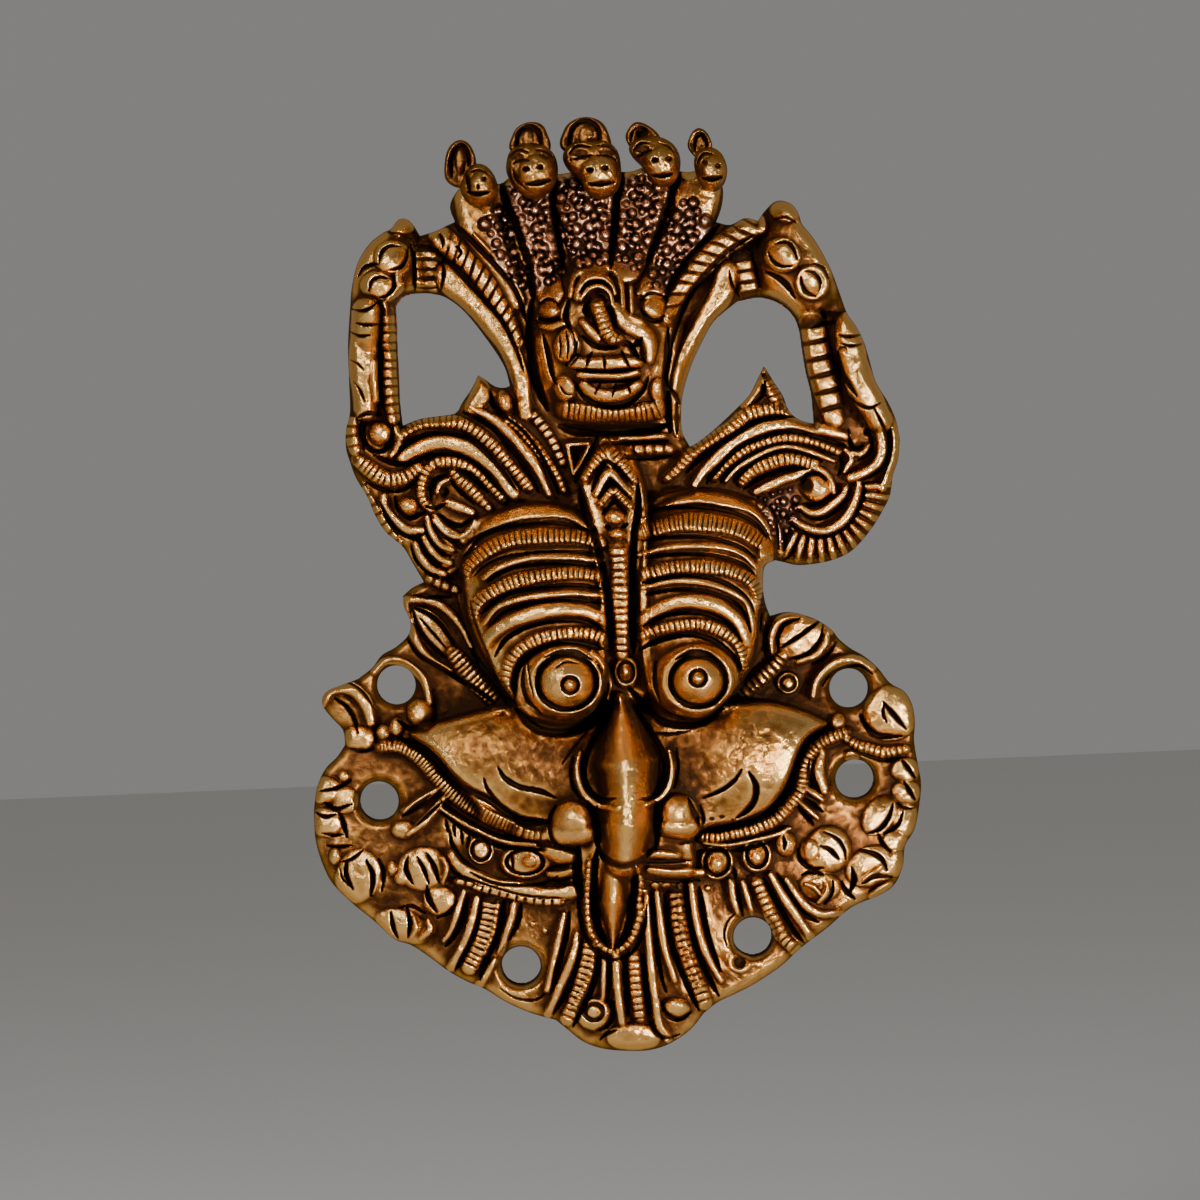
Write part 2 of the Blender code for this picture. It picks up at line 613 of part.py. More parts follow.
def triangulated(loops, lines, fill, gap, merge):
    """A flat triangle mesh inside the first loop and outside the others, along all the lines."""
    borders = np.vstack(loops)
    points = [borders]
    edges = []
    start = 0
    for loop in loops:
        count = len(loop)
        edges += [(start + i, start + (i + 1) % count) for i in range(count)]
        start += count
    for line in lines:
        clear = is_inside(loops[0], line)
        for loop in loops[1:]:
            clear &= ~is_inside(loop, line)
        to_border = np.linalg.norm(line[:, None, :] - borders[None, :, :], axis=2).min(axis=1)
        clear &= to_border > gap
        numbers = np.cumsum(clear) - 1 + start
        edges += [
            (int(numbers[i]), int(numbers[i + 1])) for i in range(len(line) - 1) if clear[i] and clear[i + 1]
        ]
        points.append(line[clear])
        start += int(clear.sum())
    points.append(spaced(fill, np.vstack(points), gap * 2))
    flat = [tuple(point) for point in np.vstack(points)]
    verts, _, faces, *_ = delaunay_2d_cdt(flat, edges, [], 0, merge)
    verts = np.array([tuple(vert) for vert in verts])
    faces = np.array(faces)
    centres = verts[faces].mean(axis=1)
    kept = is_inside(loops[0], centres)
    for loop in loops[1:]:
        kept &= ~is_inside(loop, centres)
    return verts, faces[kept]


def border_edges(faces):
    """The directed edges that only one face uses."""
    directed = [(int(a), int(b)) for face in faces for a, b in zip(face, np.roll(face, -1))]
    present = set(directed)
    return [(a, b) for a, b in directed if (b, a) not in present]


def ordered_loops(edges):
    """Directed border edges joined end to end into loops of point numbers."""
    following = dict(edges)
    loops = []
    while following:
        first, current = following.popitem()
        loop = [first]
        while current != first:
            loop.append(current)
            current = following.pop(current)
        loops.append(loop)
    return loops


def relief_mesh():
    """The whole relief as one closed body: carved front, hollow back and the walls between them."""
    outline = loop_of_runs(OUTLINE)
    gaps = [loop_of_runs(LEFT_GAP), loop_of_runs(RIGHT_GAP)]
    hole_radius = HOLE_DIAMETER / 2 / UNIT
    holes = [ellipse(centre, (hole_radius, hole_radius), HOLE_SIDES) for centre in HOLES]
    fill = fill_points(outline.min(axis=0), outline.max(axis=0), FILL_STEP)
    sheet, faces_down = triangulated([outline] + gaps + holes, carving_lines(), fill, LEAST_GAP, MERGE_GAP)
    front_faces = faces_down[:, ::-1]
    front = placed(sheet, front_depth(sheet) * DEPTH_UNIT)

    loops = ordered_loops(border_edges(front_faces))
    loops.sort(key=len, reverse=True)
    borders = [front[loop][:, [0, 2]] for loop in loops]
    edge_points = closed_curve(HOLLOW, FILL_STEP)
    hollow_edge = placed(edge_points, np.zeros(len(edge_points)))[:, [0, 2]]
    back_lines = rim_lines(hollow_edge, borders)
    back_fill = fill_points(borders[0].min(axis=0), borders[0].max(axis=0), BACK_STEP * UNIT)
    back_gap = 2 * LEAST_GAP * UNIT
    flat, back_faces = triangulated(borders, back_lines, back_fill, back_gap, BACK_MERGE_GAP)
    depth = hollow_depth(flat, hollow_edge, borders)
    back = np.column_stack([flat[:, 0], -depth, flat[:, 1]])

    verts = np.vstack([front, back])
    shift = len(front)
    border_numbers = [number for loop in loops for number in loop]
    behind = {number: shift + place for place, number in enumerate(border_numbers)}
    faces = [tuple(int(i) for i in face) for face in front_faces]
    faces += [tuple(int(i) + shift for i in reversed(face)) for face in back_faces]
    for start, end in border_edges(front_faces):
        faces += [(end, start, behind[start]), (end, behind[start], behind[end])]
    return verts, faces


def add_object(name, verts, faces):
    mesh = bpy.data.meshes.new(name)
    mesh.from_pydata([tuple(vert) for vert in verts - mount_position()], [], faces)
    thing = bpy.data.objects.new(name, mesh)
    bpy.context.collection.objects.link(thing)
    return thing


def lofted(rings):
    """A closed body through rings of equal counts, with flat ends."""
    count = len(rings[0])
    faces = [tuple(reversed(range(count)))]
    for ring in range(len(rings) - 1):
        for i in range(count):
            a = ring * count + i
            b = ring * count + (i + 1) % count
            faces += [(a, b, b + count), (a, b + count, a + count)]
    last = (len(rings) - 1) * count
    faces.append(tuple(range(last, last + count)))
    return np.vstack(rings), faces


def snake_head(head):
    """A head that rises from the hood and bends forwards, from its neck to its snout."""
    rings = []
    for depth, drop, share in HEAD_SECTIONS:
        forward = max(0, depth - BEND_START) / (BEND_END - BEND_START)
        centre = np.array(head.centre) + np.array(head.snout) * forward + (0, drop)
        ring = ellipse(centre, np.array(head.radii) * share, HEAD_SIDES)
        rings.append(placed(ring, np.full(len(ring), depth * DEPTH_UNIT)))
    return lofted(rings)


def horseshoe_ear(head):
    """A round bar bent to an arch over the back of a head."""
    rings = []
    bar = EAR_THICKNESS / 2 / UNIT
    for step in range(EAR_STEPS + 1):
        turn = -math.pi / 2 + EAR_TURN * (step / EAR_STEPS - 0.5)
        outwards = np.array([math.cos(turn), math.sin(turn)])
        centre = np.array(head.ear_centre) + outwards * (np.array(head.ear_radii) - bar)
        spread = np.arange(EAR_SIDES) * math.tau / EAR_SIDES
        ring = centre + np.outer(np.cos(spread) * bar, outwards)
        depth = EAR_DEPTH * DEPTH_UNIT + np.sin(spread) * EAR_THICKNESS / 2
        rings.append(placed(ring, depth))
    return lofted(rings)


def join(target, name, verts, faces):
    """Adds a closed body to the target with a Boolean union."""
    tool = add_object(name, verts, faces)
    tool.hide_render = True
    tool.display_type = "WIRE"
    union = target.modifiers.new(name, "BOOLEAN")
    union.operation = "UNION"
    union.solver = "EXACT"
    union.object = tool


def brass():
    material = bpy.data.materials.new("brass")
    material.use_nodes = True
    shader = material.node_tree.nodes["Principled BSDF"]
    shader.inputs["Base Color"].default_value = (0.62, 0.42, 0.18, 1)
    shader.inputs["Metallic"].default_value = 1.0
    shader.inputs["Roughness"].default_value = 0.35
    return material


def main():
    clear_scene()
    mask = add_object("mask", *relief_mesh())
    for number, head in enumerate(HEADS, start=1):
        join(mask, f"head_{number}", *snake_head(head))
        join(mask, f"ear_{number}", *horseshoe_ear(head))
    mask.data.materials.append(brass())


main()
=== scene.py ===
"""The looks of a brass guardian mask: its fine carving, its worn patina, and the light around it.

The front is drawn on a square sheet, SHEET units wide and high, x to the right and y down. The
sheet is the camera's own view of the wall plane. Depths off the wall are in millimetres.
"""

import math
from collections import defaultdict, namedtuple

import bpy
import numpy as np
from mathutils import Matrix, Vector, noise
from mathutils.geometry import delaunay_2d_cdt


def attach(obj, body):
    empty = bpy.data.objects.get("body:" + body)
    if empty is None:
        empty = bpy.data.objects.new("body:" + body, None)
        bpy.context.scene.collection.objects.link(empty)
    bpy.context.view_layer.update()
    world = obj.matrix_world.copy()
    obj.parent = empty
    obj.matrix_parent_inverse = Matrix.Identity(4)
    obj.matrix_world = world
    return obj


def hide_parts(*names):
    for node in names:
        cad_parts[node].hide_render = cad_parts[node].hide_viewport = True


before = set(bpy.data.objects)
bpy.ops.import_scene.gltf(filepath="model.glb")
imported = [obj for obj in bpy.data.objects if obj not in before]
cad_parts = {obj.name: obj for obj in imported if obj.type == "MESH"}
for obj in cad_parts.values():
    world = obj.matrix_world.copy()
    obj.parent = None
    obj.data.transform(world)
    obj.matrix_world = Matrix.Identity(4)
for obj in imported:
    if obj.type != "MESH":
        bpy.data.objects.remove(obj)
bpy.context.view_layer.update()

# The mask's own sizes, in metres
HEIGHT = 0.234
WALL = 0.0045
RIM = 0.005
HOLE_RADIUS = 0.005
HOLE_SIDES = 48
HOLLOW_DRAFT = 1.3
MILLIMETRE = 0.001

# The sheet
SHEET = 1200
UNITS_PER_HEIGHT = 918
UNIT = HEIGHT / UNITS_PER_HEIGHT
UNITS_PER_MM = MILLIMETRE / UNIT
VIEW_DISTANCE = 3.85 * HEIGHT
LEAN = math.radians(2.4)
MOUNT_AT = (592, 215)

# The floor, the room, the lamps and the camera, in metres and watts, with the sensor in millimetres
FLOOR_SIZE = 8
FLOOR_DROP = 0.34
FLOOR_COLOUR = (0.78, 0.76, 0.73)
FLOOR_ROUGHNESS = 0.8
ROOM_COLOUR = (0.80, 0.79, 0.77, 1)
ROOM_STRENGTH = 0.28
LAMPS_AIM = (0, 0, -0.09)
KEY_LAMP_AT = (0.62, -0.72, -0.42)
KEY_LAMP_SIZE = (0.22, 0.22)
KEY_LAMP_WATTS = 150
FILL_LAMP_AT = (-0.55, -0.80, 0.45)
FILL_LAMP_SIZE = (0.5, 0.5)
FILL_LAMP_WATTS = 10
SENSOR_WIDTH = 36
NEAREST_SEEN = 0.01
FARTHEST_SEEN = 50

# The grid that the relief is worked out on, in sheet units
GRID = 1.1
GRID_LOW = np.array([298.0, 138.0])
GRID_HIGH = np.array([938.0, 1068.0])
LAST_CELL = 1.001
CURVE_STEP = 4.0
HEAD_CURVE_STEP = 1.0
TABLE_CURVE_STEP = 0.01
CURVE_SHARES = 8
BORDER_STEP = 5.0
BORDER_REACH = 115.0
BACK_STEP = 9.0
SAME_POINT = 1e-5
EDGE_CELLS = 0.6
EDGE_ROUND = 9.0
EDGE_SHARE = 0.4

# How the broad forms meet
PLATE = 7.0
BLEND_POWER = 6
CLIFF = 7

# How the carved lines look, in sheet units, with depths in millimetres
ROLL_FULLNESS = 3.0
FAN_START = 0.7
FAN_END = 0.6
HAND_WOBBLE = 0.05
WOBBLE_LENGTH = 9
TICK_START = 0.66
TICK_DEPTH = 1.1
# The next value darkens the notches of ticked rolls: patina and painted shade in them
TICK_DIRT_AND_SHADE = 0.5
TICK_DRIFT = 0.5
TICK_DRIFT_RATE = 0.37
TICK_END = 0.98
TICK_FADE = 5
GROOVE_TAPER = 16
GROOVE_THINNEST = 0.1
# The next value darkens grooves along their depth: black patina and painted shade in them
GROOVE_DIRT_AND_SHADE = 0.75
CAST_SEED = 7
CAST_RADII = (1, 3)
CAST_ROUGHNESS = 0.06
LOWEST_FRONT = 1.5
BACK_SOFTNESS = 3

# Ring punches: their dirt and painted shade, how uneven they are, and the ring and the ball of each as shares
# of its size
PUNCHED_DIRT_AND_SHADE = 0.06
PUNCHED_MOST_DIRT_AND_SHADE = 0.20
PUNCH_ROW_HEIGHT = 0.87
PUNCH_JITTER = 0.24
PUNCH_MEAN = 0.95
PUNCH_SPREAD = 0.3
PUNCH_RING = 0.9
PUNCH_BALL = 0.85
PUNCH_BALL_RISE = 1.3

# Wear and painted shade, from none to all: its base, then for fine, medium and wide relief the blur in grid
# steps, the wear per millimetre, the least and the most; relief lower than its surroundings is darkened as
# patina and as painted shade
BASE_WEAR = 0.46
FINE_WEAR_AND_SHADE = (3, 0.42, -0.18, 0.5)
MEDIUM_WEAR_AND_SHADE = (8, 0.24, -0.10, 0.20)
WIDE_WEAR_AND_SHADE = (26, 0.022, -0.05, 0.04)
MOST_WORN = 0.92
BACK_WEAR = 0.3

Form = namedtuple("Form", "centre radii top")
Terrace = namedtuple("Terrace", "edge forms")
Roll = namedtuple("Roll", "points widths rise pitch slant", defaults=(0, 0))
Groove = namedtuple("Groove", "points width depth", defaults=(2.2,))
Dome = namedtuple("Dome", "centre radii rise turn", defaults=(0,))
Bump = namedtuple("Bump", "centre radii rise")
Ring = namedtuple("Ring", "centre radii width rise")
Punches = namedtuple("Punches", "area pitch radius depth")
Stain = namedtuple("Stain", "centre radii amount")
CENTRED = {"dome": Dome, "bump": Bump, "ring": Ring, "stain": Stain}


def points_of(words):
    """Sheet points from words such as 405,602."""
    return [tuple(float(number) for number in word.split(",")) for word in words.split()]


def runs_of(rows):
    """Runs of sheet points, with an empty row between two runs."""
    return [points_of(run) for run in rows.split("\n\n")]


def carvings(rows):
    """Carved items, one to a row: the kind with its values, then its sizes, then its points."""
    items = []
    for row in rows.strip().split("\n"):
        head, sizes, points = row.split("|")
        kind, *values = head.split()
        values = [float(amount) for amount in values]
        sizes = tuple(float(size) for size in sizes.split())
        points = points_of(points)
        if kind == "roll":
            items.append(Roll(points, sizes, *values))
        elif kind == "groove":
            items.append(Groove(points, sizes[0], *values))
        elif kind == "punches":
            items.append(Punches(points, *values))
        else:
            items.append(CENTRED[kind](points[0], sizes, *values))
    return items


# Outline, clockwise from the left foot of the hood, in smooth runs that meet at corners
OUTLINE = runs_of("""
455,222 450,205 462,186 482,180 500,184 512,176 535,172 560,174 595,168 628,172 655,164 684,172 708,170
722,185 722,205 716,222

716,222 730,225 745,218 758,221

758,221 764,212 776,201 790,203 798,212 802,224 812,236 822,252 832,272 840,294 847,313 856,326 864,342
870,362 876,382 888,402 896,420 900,440

900,440 898,460 893,475 890,495 883,510 872,528 858,545 845,555 825,562 800,565 785,562 776,560

776,560 765,566 763,585 765,602 770,616

770,616 790,612 815,619 832,630 838,638 850,648 864,656 878,668 890,683 904,691 912,704 915,722 914,740
918,765 921,782 920,800 915,828 905,846 903,865 895,884 880,895 852,907 827,928 802,947 781,966 756,983
735,994 718,1002 704,1013

704,1013 690,1030 669,1044 650,1050 632,1051 605,1049 584,1042 567,1029 556,1020

556,1020 531,1013 506,1002 485,989 466,981 447,970 428,956 411,945 394,939 373,920 352,903 333,884
323,865 316,842 314,818 315,800 318,784 326,768 337,757 345,745

345,745 343,730 332,718 322,704 326,692 342,685 358,679

358,679 372,668 382,655 396,647 409,634 410,620 404,607 403,596

403,596 412,588 424,582

424,582 418,572 411,560 404,548 394,539 384,530 374,513 368,498 356,478 350,462 346,448 346,430 350,412
349,380 348,345 350,310 352,286 358,262 370,243 384,232

384,232 391,229 399,219 410,221 420,236

420,236 436,231 446,226 455,222
""")
LEFT_GAP = runs_of("""
394,304 402,294 420,291 440,294 456,303 470,317 484,335 496,352 505,368 510,386

510,386 503,388 494,386 486,380 478,375

478,375 472,388 462,403 456,413 440,416 420,419 402,426

402,426 399,400 398,370 396,340 394,304
""")
RIGHT_GAP = runs_of("""
738,300 758,296 778,300 793,312 800,328 803,348 807,372 812,392 815,424

815,424 800,420 789,411 783,396 774,382 764,366

764,366 757,381 750,394 738,407 718,426 701,440 690,447

690,447 682,430 682,400 688,375 697,352 706,334 716,318 738,300
""")
HOLES = [(396, 685), (379, 801), (521, 966), (753, 937), (849, 688), (855, 779)]
HOLLOW = points_of("""
610,272 672,300 690,400 760,432 860,430 920,450 905,540 800,590 935,690 945,860 800,990 632,1070 460,990
290,880 295,690 390,600 330,500 335,445 440,430 530,405 545,300
""")

# The broad low forms, and the high forms that end at the edge of a terrace
LOW_FORMS = [
    Form((620, 455), (320, 340), 13),
    Form((625, 850), (315, 215), 18),
    Form((609, 345), (84, 100), 27),
    Form((382, 285), (46, 74), 19),
    Form((800, 262), (48, 70), 19),
]
FACE = Terrace(
    points_of("""
        408,733 450,716 520,700 620,690 710,700 775,700 829,722 806,743 786,790 756,822 700,834 693,880
        620,900 560,890 505,878 455,848 478,815 455,785 432,755
    """),
    [
        Form((520, 760), (140, 78), 33),
        Form((735, 755), (132, 86), 33),
        Form((625, 815), (130, 92), 34),
    ],
)
LEFT_BROW = Terrace(
    points_of("""
        462,535 505,506 552,502 592,520 608,570 611,640 606,700 575,727 532,722 505,695 474,640 461,590
    """),
    [
        Form((548, 628), (108, 138), 36),
        Form((566, 683), (62, 56), 38),
    ],
)
RIGHT_BROW = Terrace(
    points_of("""
        642,515 690,490 740,495 772,520 777,560 763,605 756,655 734,697 700,722 662,712 640,680 634,600
        638,550
    """),
    [
        Form((700, 615), (100, 138), 36),
        Form((697, 680), (60, 56), 38),
    ],
)
BRIDGE = Terrace(
    points_of("""
        600,432 632,450 650,500 652,600 655,690 625,705 595,695 596,600 585,520 576,470
    """),
    [
        Form((619, 590), (90, 185), 29),
    ],
)
NOSE_RIDGE = [(620, 697), (623, 735), (627, 772), (628, 800), (627, 832), (626, 858)]
NOSE_HALF_WIDTHS = [7, 25, 38, 32, 31, 24]
NOSE_DEPTHS = [31, 38, 45, 48, 50, 44]
TONGUE_LINE = [(614, 858), (613, 895), (613, 949)]
TONGUE_HALF_WIDTHS = [15, 17, 2]
TONGUE_DEPTHS = [27, 28, 17]

HOOD = carvings("""
roll 4|40 38 24|468,178 482,232 514,300
roll 4.4|48 42 30|526,170 533,232 543,266 550,292
roll 5|66 56 40|582,165 592,264
roll 4.6|56 48 34|650,162 638,228 626,266
roll 4|46 42 30|702,165 690,228 668,262 654,288
roll 6 11 -0.5|24 24 20 14|440,238 448,243 480,275 503,310 517,342
dome 6.6 30|16 11|446,241
groove|5|440,234 443,241 442,248
groove|4|456,246 461,252 457,259
roll 5|28 25 20 16|446,276 495,326 518,370 526,414
roll 6 13 -0.6|24 25 22 13|755,225 740,235 720,247 690,278 678,295 670,314
roll 4.6|26 22 18 14|728,272 718,300 705,320 685,365 678,400 680,432
roll 6|4 5 4|474,234 496,258
groove|6|455,224 495,265 515,290 526,320
groove|5|442,256 462,276 500,318 514,344 524,372
groove 3.2|9|501,180 507,204 516,225 530,270 534,300
groove 3|7|556,170 552,198 554,215 564,266
groove 3.2|9|624,168 617,196 611,268
groove 3|8|682,165 646,266
groove|6|720,224 688,258 672,280 664,298
groove|6|752,236 735,246 716,262 688,297 672,340 668,372
punches 10 4.6 0.8||482,224 502,200 514,240 528,292 512,286 494,258
punches 10 4.6 0.8||506,184 549,176 554,230 564,272 540,292 531,285 520,235
punches 10.5 4.8 0.8||557,176 616,172 607,264 590,264 572,272 562,240
punches 10 4.8 0.8||624,176 675,170 655,228 636,276 617,264 618,230
punches 10 4.6 0.8||682,196 704,208 714,226 688,258 664,296 648,284 664,232
roll 3.4 9.5|24 24|427,250 427,291
groove|5|410,243 414,262 415,290
groove|5|414,245 430,248 443,257
groove|5|442,260 444,272 441,290
roll 3 11|22 22|743,260 749,292
groove|4|729,270 732,285 740,297
groove|5|752,256 759,286
""")
ARMS = carvings("""
dome 5|13 11|402,226
groove 1.4|4|388,233 400,234 411,239
dome 4|19 18|393,258
dome 4|18 16|378,286
roll 4.4|6 9 6|407,268 398,276 400,288 388,299
groove 2.6|5|379,263 382,252 390,246 400,247
groove 2.6|5|408,248 406,259 400,267 389,270
groove 2.6|5|369,291 372,281 380,277 388,279
groove 2.6|5|394,276 394,287 388,295 379,298
groove 2.4|5|358,277 365,267 378,264
groove 2.4|5|352,309 362,311 372,307 377,302
roll 3|5 4|384,303 388,313
dome 5|16 12|785,210
groove 1.6|4|774,220 785,217 797,223
dome 4 25|20 17|782,255
dome 4 -20|17 18|812,283
ring 4 1|15 16|812,283
groove 2.6|6|776,244 786,242 793,248 797,259
groove 2.6|5|768,252 773,261 781,266 792,266
groove 2.6|5|805,271 814,273 820,281 819,291
groove 2.6|5|801,277 803,287 808,293 816,296
groove|5|814,264 823,268 828,279
groove 2|6|820,309 826,318
groove 2|7|766,272 775,276 786,284 795,298
groove 2|5|836,322 824,324 812,328
roll 10|28 32 30 28 24|366,312 362,360 364,385 365,410
roll 11|8 10 7|374,362 374,382 376,400
roll 4.4 9|16 17 17 15|389,315 389,380 393,418
groove|5|356,323 366,325 379,324
groove|4|351,332 360,336 371,335
bump 1.4|4 4|377,350
bump 1.2|3 5|353,344
groove 1.4|3|351,360 358,364 364,370
groove 1.4|4|354,382 360,390 365,402
groove 2.4|5|380,340 381,362 380,384 384,408
groove 2.6|6|357,418 368,413 381,414
roll 10|28 32 32 32 28|849,326 851,350 859,378 880,420
roll 11|8 10 7|858,364 864,382 872,398
roll 3.4 17|26 30 28 24|812,325 818,355 834,418
groove 3|7|838,352 842,372 857,396
groove|5|839,335 848,337 860,335
groove|4|840,343 850,346 862,344
groove 1.6|3|838,351 842,346 847,350
bump 1.2|4 4|843,354
bump 1.2|4 5|866,351
groove|5|850,396 858,404 870,408 880,403
""")
SMALL_FACE = carvings("""
groove 3|9|532,300 530,340 536,380 548,410
groove 3|7|569,300 566,318 572,332
roll 5|7 8 8 7|577,298 579,287 586,279 597,276 608,280 614,293
roll 3.6|6 7 7 6|570,296 574,277 586,268 600,265 616,271 622,288
roll 4|5 6 6 5|581,299 588,289 600,286 610,293 613,305
groove 2|4|579,293 587,283 599,281 610,287 615,300
groove 2.6|6|589,303 594,298 601,297 607,302
groove 3.4|8|587,303 586,310 590,318
roll 7 5.5|14 15 16 15|597,302 600,313 609,335 618,340
groove 3.6|7|610,306 616,326
groove 2|4|592,314 599,333
roll 4|9 12 10|583,322 598,338
roll 5|10 20 20 16 9|616,306 626,322 640,330 650,342 650,360
roll 6|4 6 4|627,315 642,322
groove 3.2|7|642,338 638,343 632,347
groove 3|6|582,336 590,343 600,347 612,347 622,343 630,345 637,357 646,361
roll 3.6|6 7 6|541,300 548,294 556,298
dome 4.4|11 9|549,310
groove 3|7|539,319 548,321 560,319
groove 2.4|4|540,304 548,299 558,303
roll 3|6 8 6|541,326 551,327 563,323
roll 4|6 8 6|639,293 648,284 656,287 664,294
dome 4.6|13 12|655,307
groove 2.4|4|641,300 650,293 663,296
groove 2.6|5|641,309 648,319 660,321
roll 3.6|5 5|622,286 623,312
roll 3.6|5 5|631,287 632,312
dome 3|6 6|668,319
dome 5 15|13 18|567,345
groove 2|3|559,334 561,346 560,357
groove 2|3|566,330 568,345 567,360
groove 2|3|573,331 575,346 573,358
groove 2.6|5|577,342 574,356 566,366
roll 4.4|13 15 15 12|574,362 590,364 638,362
groove 2.6|3|580,355 570,366
groove 2.6|4|592,352 588,360 586,368
groove 2.6|4|604,356 605,369
groove 2.6|4|621,351 630,368
groove 2.6|5|574,369 590,371 612,371 640,368
roll 4.6|7 7 7 7|580,375 618,376 637,373
groove 3|4|583,381 618,381 640,378
roll 4.2|11 13 14 13 11|584,385 592,392 606,396 624,394 638,385
groove 2.4|3|600,383 595,394
groove 2.4|3|616,384 612,397
groove 2.4|3|627,384 631,394
groove 3|5|576,383 582,395 594,403 608,407 623,406 636,398 644,388 648,378
dome 4|11 14|565,389
groove 1.8|3|559,384 566,394 574,394
dome 4|9 14|659,391
roll 4.6 5.6|19 20 16 13 16 20 18|563,410 612,415 648,412 660,408
groove 3.4|13|560,426 580,430 645,430 666,425
roll 4|6 7 6|612,439 664,436
groove 2.6|4|612,444 668,441
roll 4 10|11 12 10|624,450 670,449
groove 2.6|5|622,458 645,458 672,456
roll 4|5 6 5|567,445 589,443
roll 4|5 5 4|568,447 573,474
roll 4|5 5 4|589,445 574,474
groove 2.4|5|575,452 577,460
groove 3|8|598,436 594,448 576,482
groove 3.4|7|668,328 667,356 665,384 670,432
groove 2.6|6|670,388 676,396 680,404
groove 3|7|677,402 677,434
groove 2.6|6|543,335 548,352 552,372 556,384
groove 2|5|531,320 540,324
""")
FOREHEAD = carvings("""
roll 5|14 12|608,452 611,462
roll 4 5|10 13 14 13 10|583,480 590,467 599,457 607,451 614,454 635,480
groove 2.6|5|592,491 603,464 609,462 620,471 631,482
roll 4.2|7 9 10 9 7|596,494 603,480 610,472 618,480 630,493
groove 2.4|4|599,500 605,487 611,480 621,489 631,499
roll 4 4|8 9 9 8|600,505 608,495 614,490 622,498 630,506
groove 2.4|4|603,514 614,501 621,508 628,514
dome 4.2|10 8|615,517
groove 2.4|5|606,526 611,529
groove 2.4|5|622,527 627,524
dome 4.2|9 6|617,534
dome 3.6|9 5|618,545
roll 4.4 7.4|20 21 19 15|618,548 620,580 622,654
groove 4|9|580,486 586,510 597,545 608,600 611,648
groove 4|8|638,484 638,510 634,540 632,600 634,652
dome 4|14 17|626,672
ring 4 -1.6|8 10|626,672
bump 1.8|5 6|626,672
""")
BROWS = carvings("""
roll 3.4|12 17 18 16 11|464,540 470,533 485,523 520,512 545,510 565,512 580,518 590,526
groove 2.6|5|465,556 480,539 500,529 545,523 570,525 590,531
roll 3.4 5.5|12 16 16 14|463,575 470,564 492,547 520,538 565,536 585,538 600,543
groove 2|3|474,576 485,566 510,556 570,551 603,555
roll 3|6 7 7 6|484,578 498,568 530,558 570,557 602,561
groove 2.6|4|488,582 500,573 520,566 570,563 602,568
roll 3.4 5.5|12 15 15 12|472,620 476,605 490,593 520,580 570,573 602,577
groove 2.6|5|482,613 500,598 518,591 570,585 603,589
roll 3|5 7 7 6|484,624 495,609 510,602 530,597 570,593 604,596
groove 2.6|4|493,623 505,612 530,604 570,599 606,604
roll 3.6|11 16 16 11|484,648 490,636 512,621 550,610 585,611 606,622
groove 2.8|5|495,656 505,640 520,630 540,623 565,620 585,622 608,633
roll 3.2 5.5|10 13 14 14 12|508,698 505,680 513,657 535,640 570,633 590,634 606,640
groove 3|6|515,700 515,680 518,668 530,655 545,646 560,642 580,643 606,650
roll 2.2|7 9 9 7|459,592 466,618 493,684 508,712
groove 1.8|4|470,600 476,625 500,686
dome 4|45 38|566,682
ring 6 1.2|36 31|566,682
ring 6.5 -3.2|29 27|567,682
groove 2|5|524,668 523,684 528,700 540,712
groove 1.6|3|528,662 530,680 534,698
groove 3|6|545,657 560,652 576,652 592,660
bump 2.4|25 23|567,682
groove 1.8|4|556,668 566,662 579,664
ring 4.5 -2|8 8|570,685
bump 1.6|5 5|570,685
roll 3.2|5 7 7 5|592,652 603,664 610,682 608,700
groove 2.4|4|596,662 603,676 602,695 592,710
roll 3.4|11 16 17 16 12|646,514 653,506 668,500 690,496 715,497 740,502 757,509 768,520 776,535 779,552
groove 2.6|5|643,518 660,509 690,507 715,509 740,515 755,524 767,538
roll 3.4 4.8|15 19 19 15|642,533 655,528 690,522 735,528 762,542
dome 3.4|9 12|767,552
groove 2.6|4|641,541 670,537 700,537 720,540 740,547 756,558
roll 3|5 7 7 5|639,555 670,547 710,546 730,549 745,556 757,568
groove 2.6|4|646,558 665,555 690,554 715,556 740,563 756,576
roll 3.4 5|12 15 15 10|641,575 677,567 717,568 737,573 751,581 759,594 763,609
groove 2.6|4|642,583 680,576 705,577 725,583 740,592 750,603 756,620
roll 3|5 7 7 5|642,588 675,581 710,584 740,597 749,608 755,636
groove 2.6|4|644,595 670,590 695,590 715,594 735,603 746,616 750,632
roll 3.6|11 15 16 10|641,621 655,611 670,604 690,601 712,604 728,612 740,624 748,643
groove 2.8|5|643,626 655,619 670,614 695,612 715,617 730,626 742,642
roll 3.2 5.2|10 13 13 9|640,637 660,629 700,624 728,635 740,648 746,668
groove 3|6|640,650 652,643 670,637 690,634 710,639 725,649 738,664 741,684
roll 2.2|6 8 8 6|765,600 764,625 758,648 748,668
dome 4|46 38|697,681
ring 6 1.2|35 31|697,681
ring 6.5 -3.2|27 25|698,681
groove 2.4|6|656,662 655,682 660,702
groove 1.8|4|668,712 685,719 704,719 722,709
groove 3|6|676,659 690,652 706,653 720,662
bump 2.6|23 21|698,681
ring 4.5 -2|8 8|698,678
bump 1.6|5 5|698,678
roll 4 6.5|13 18 18 13|722,708 745,691 773,668 783,656
groove 2|4|770,505 776,522 779,548
""")
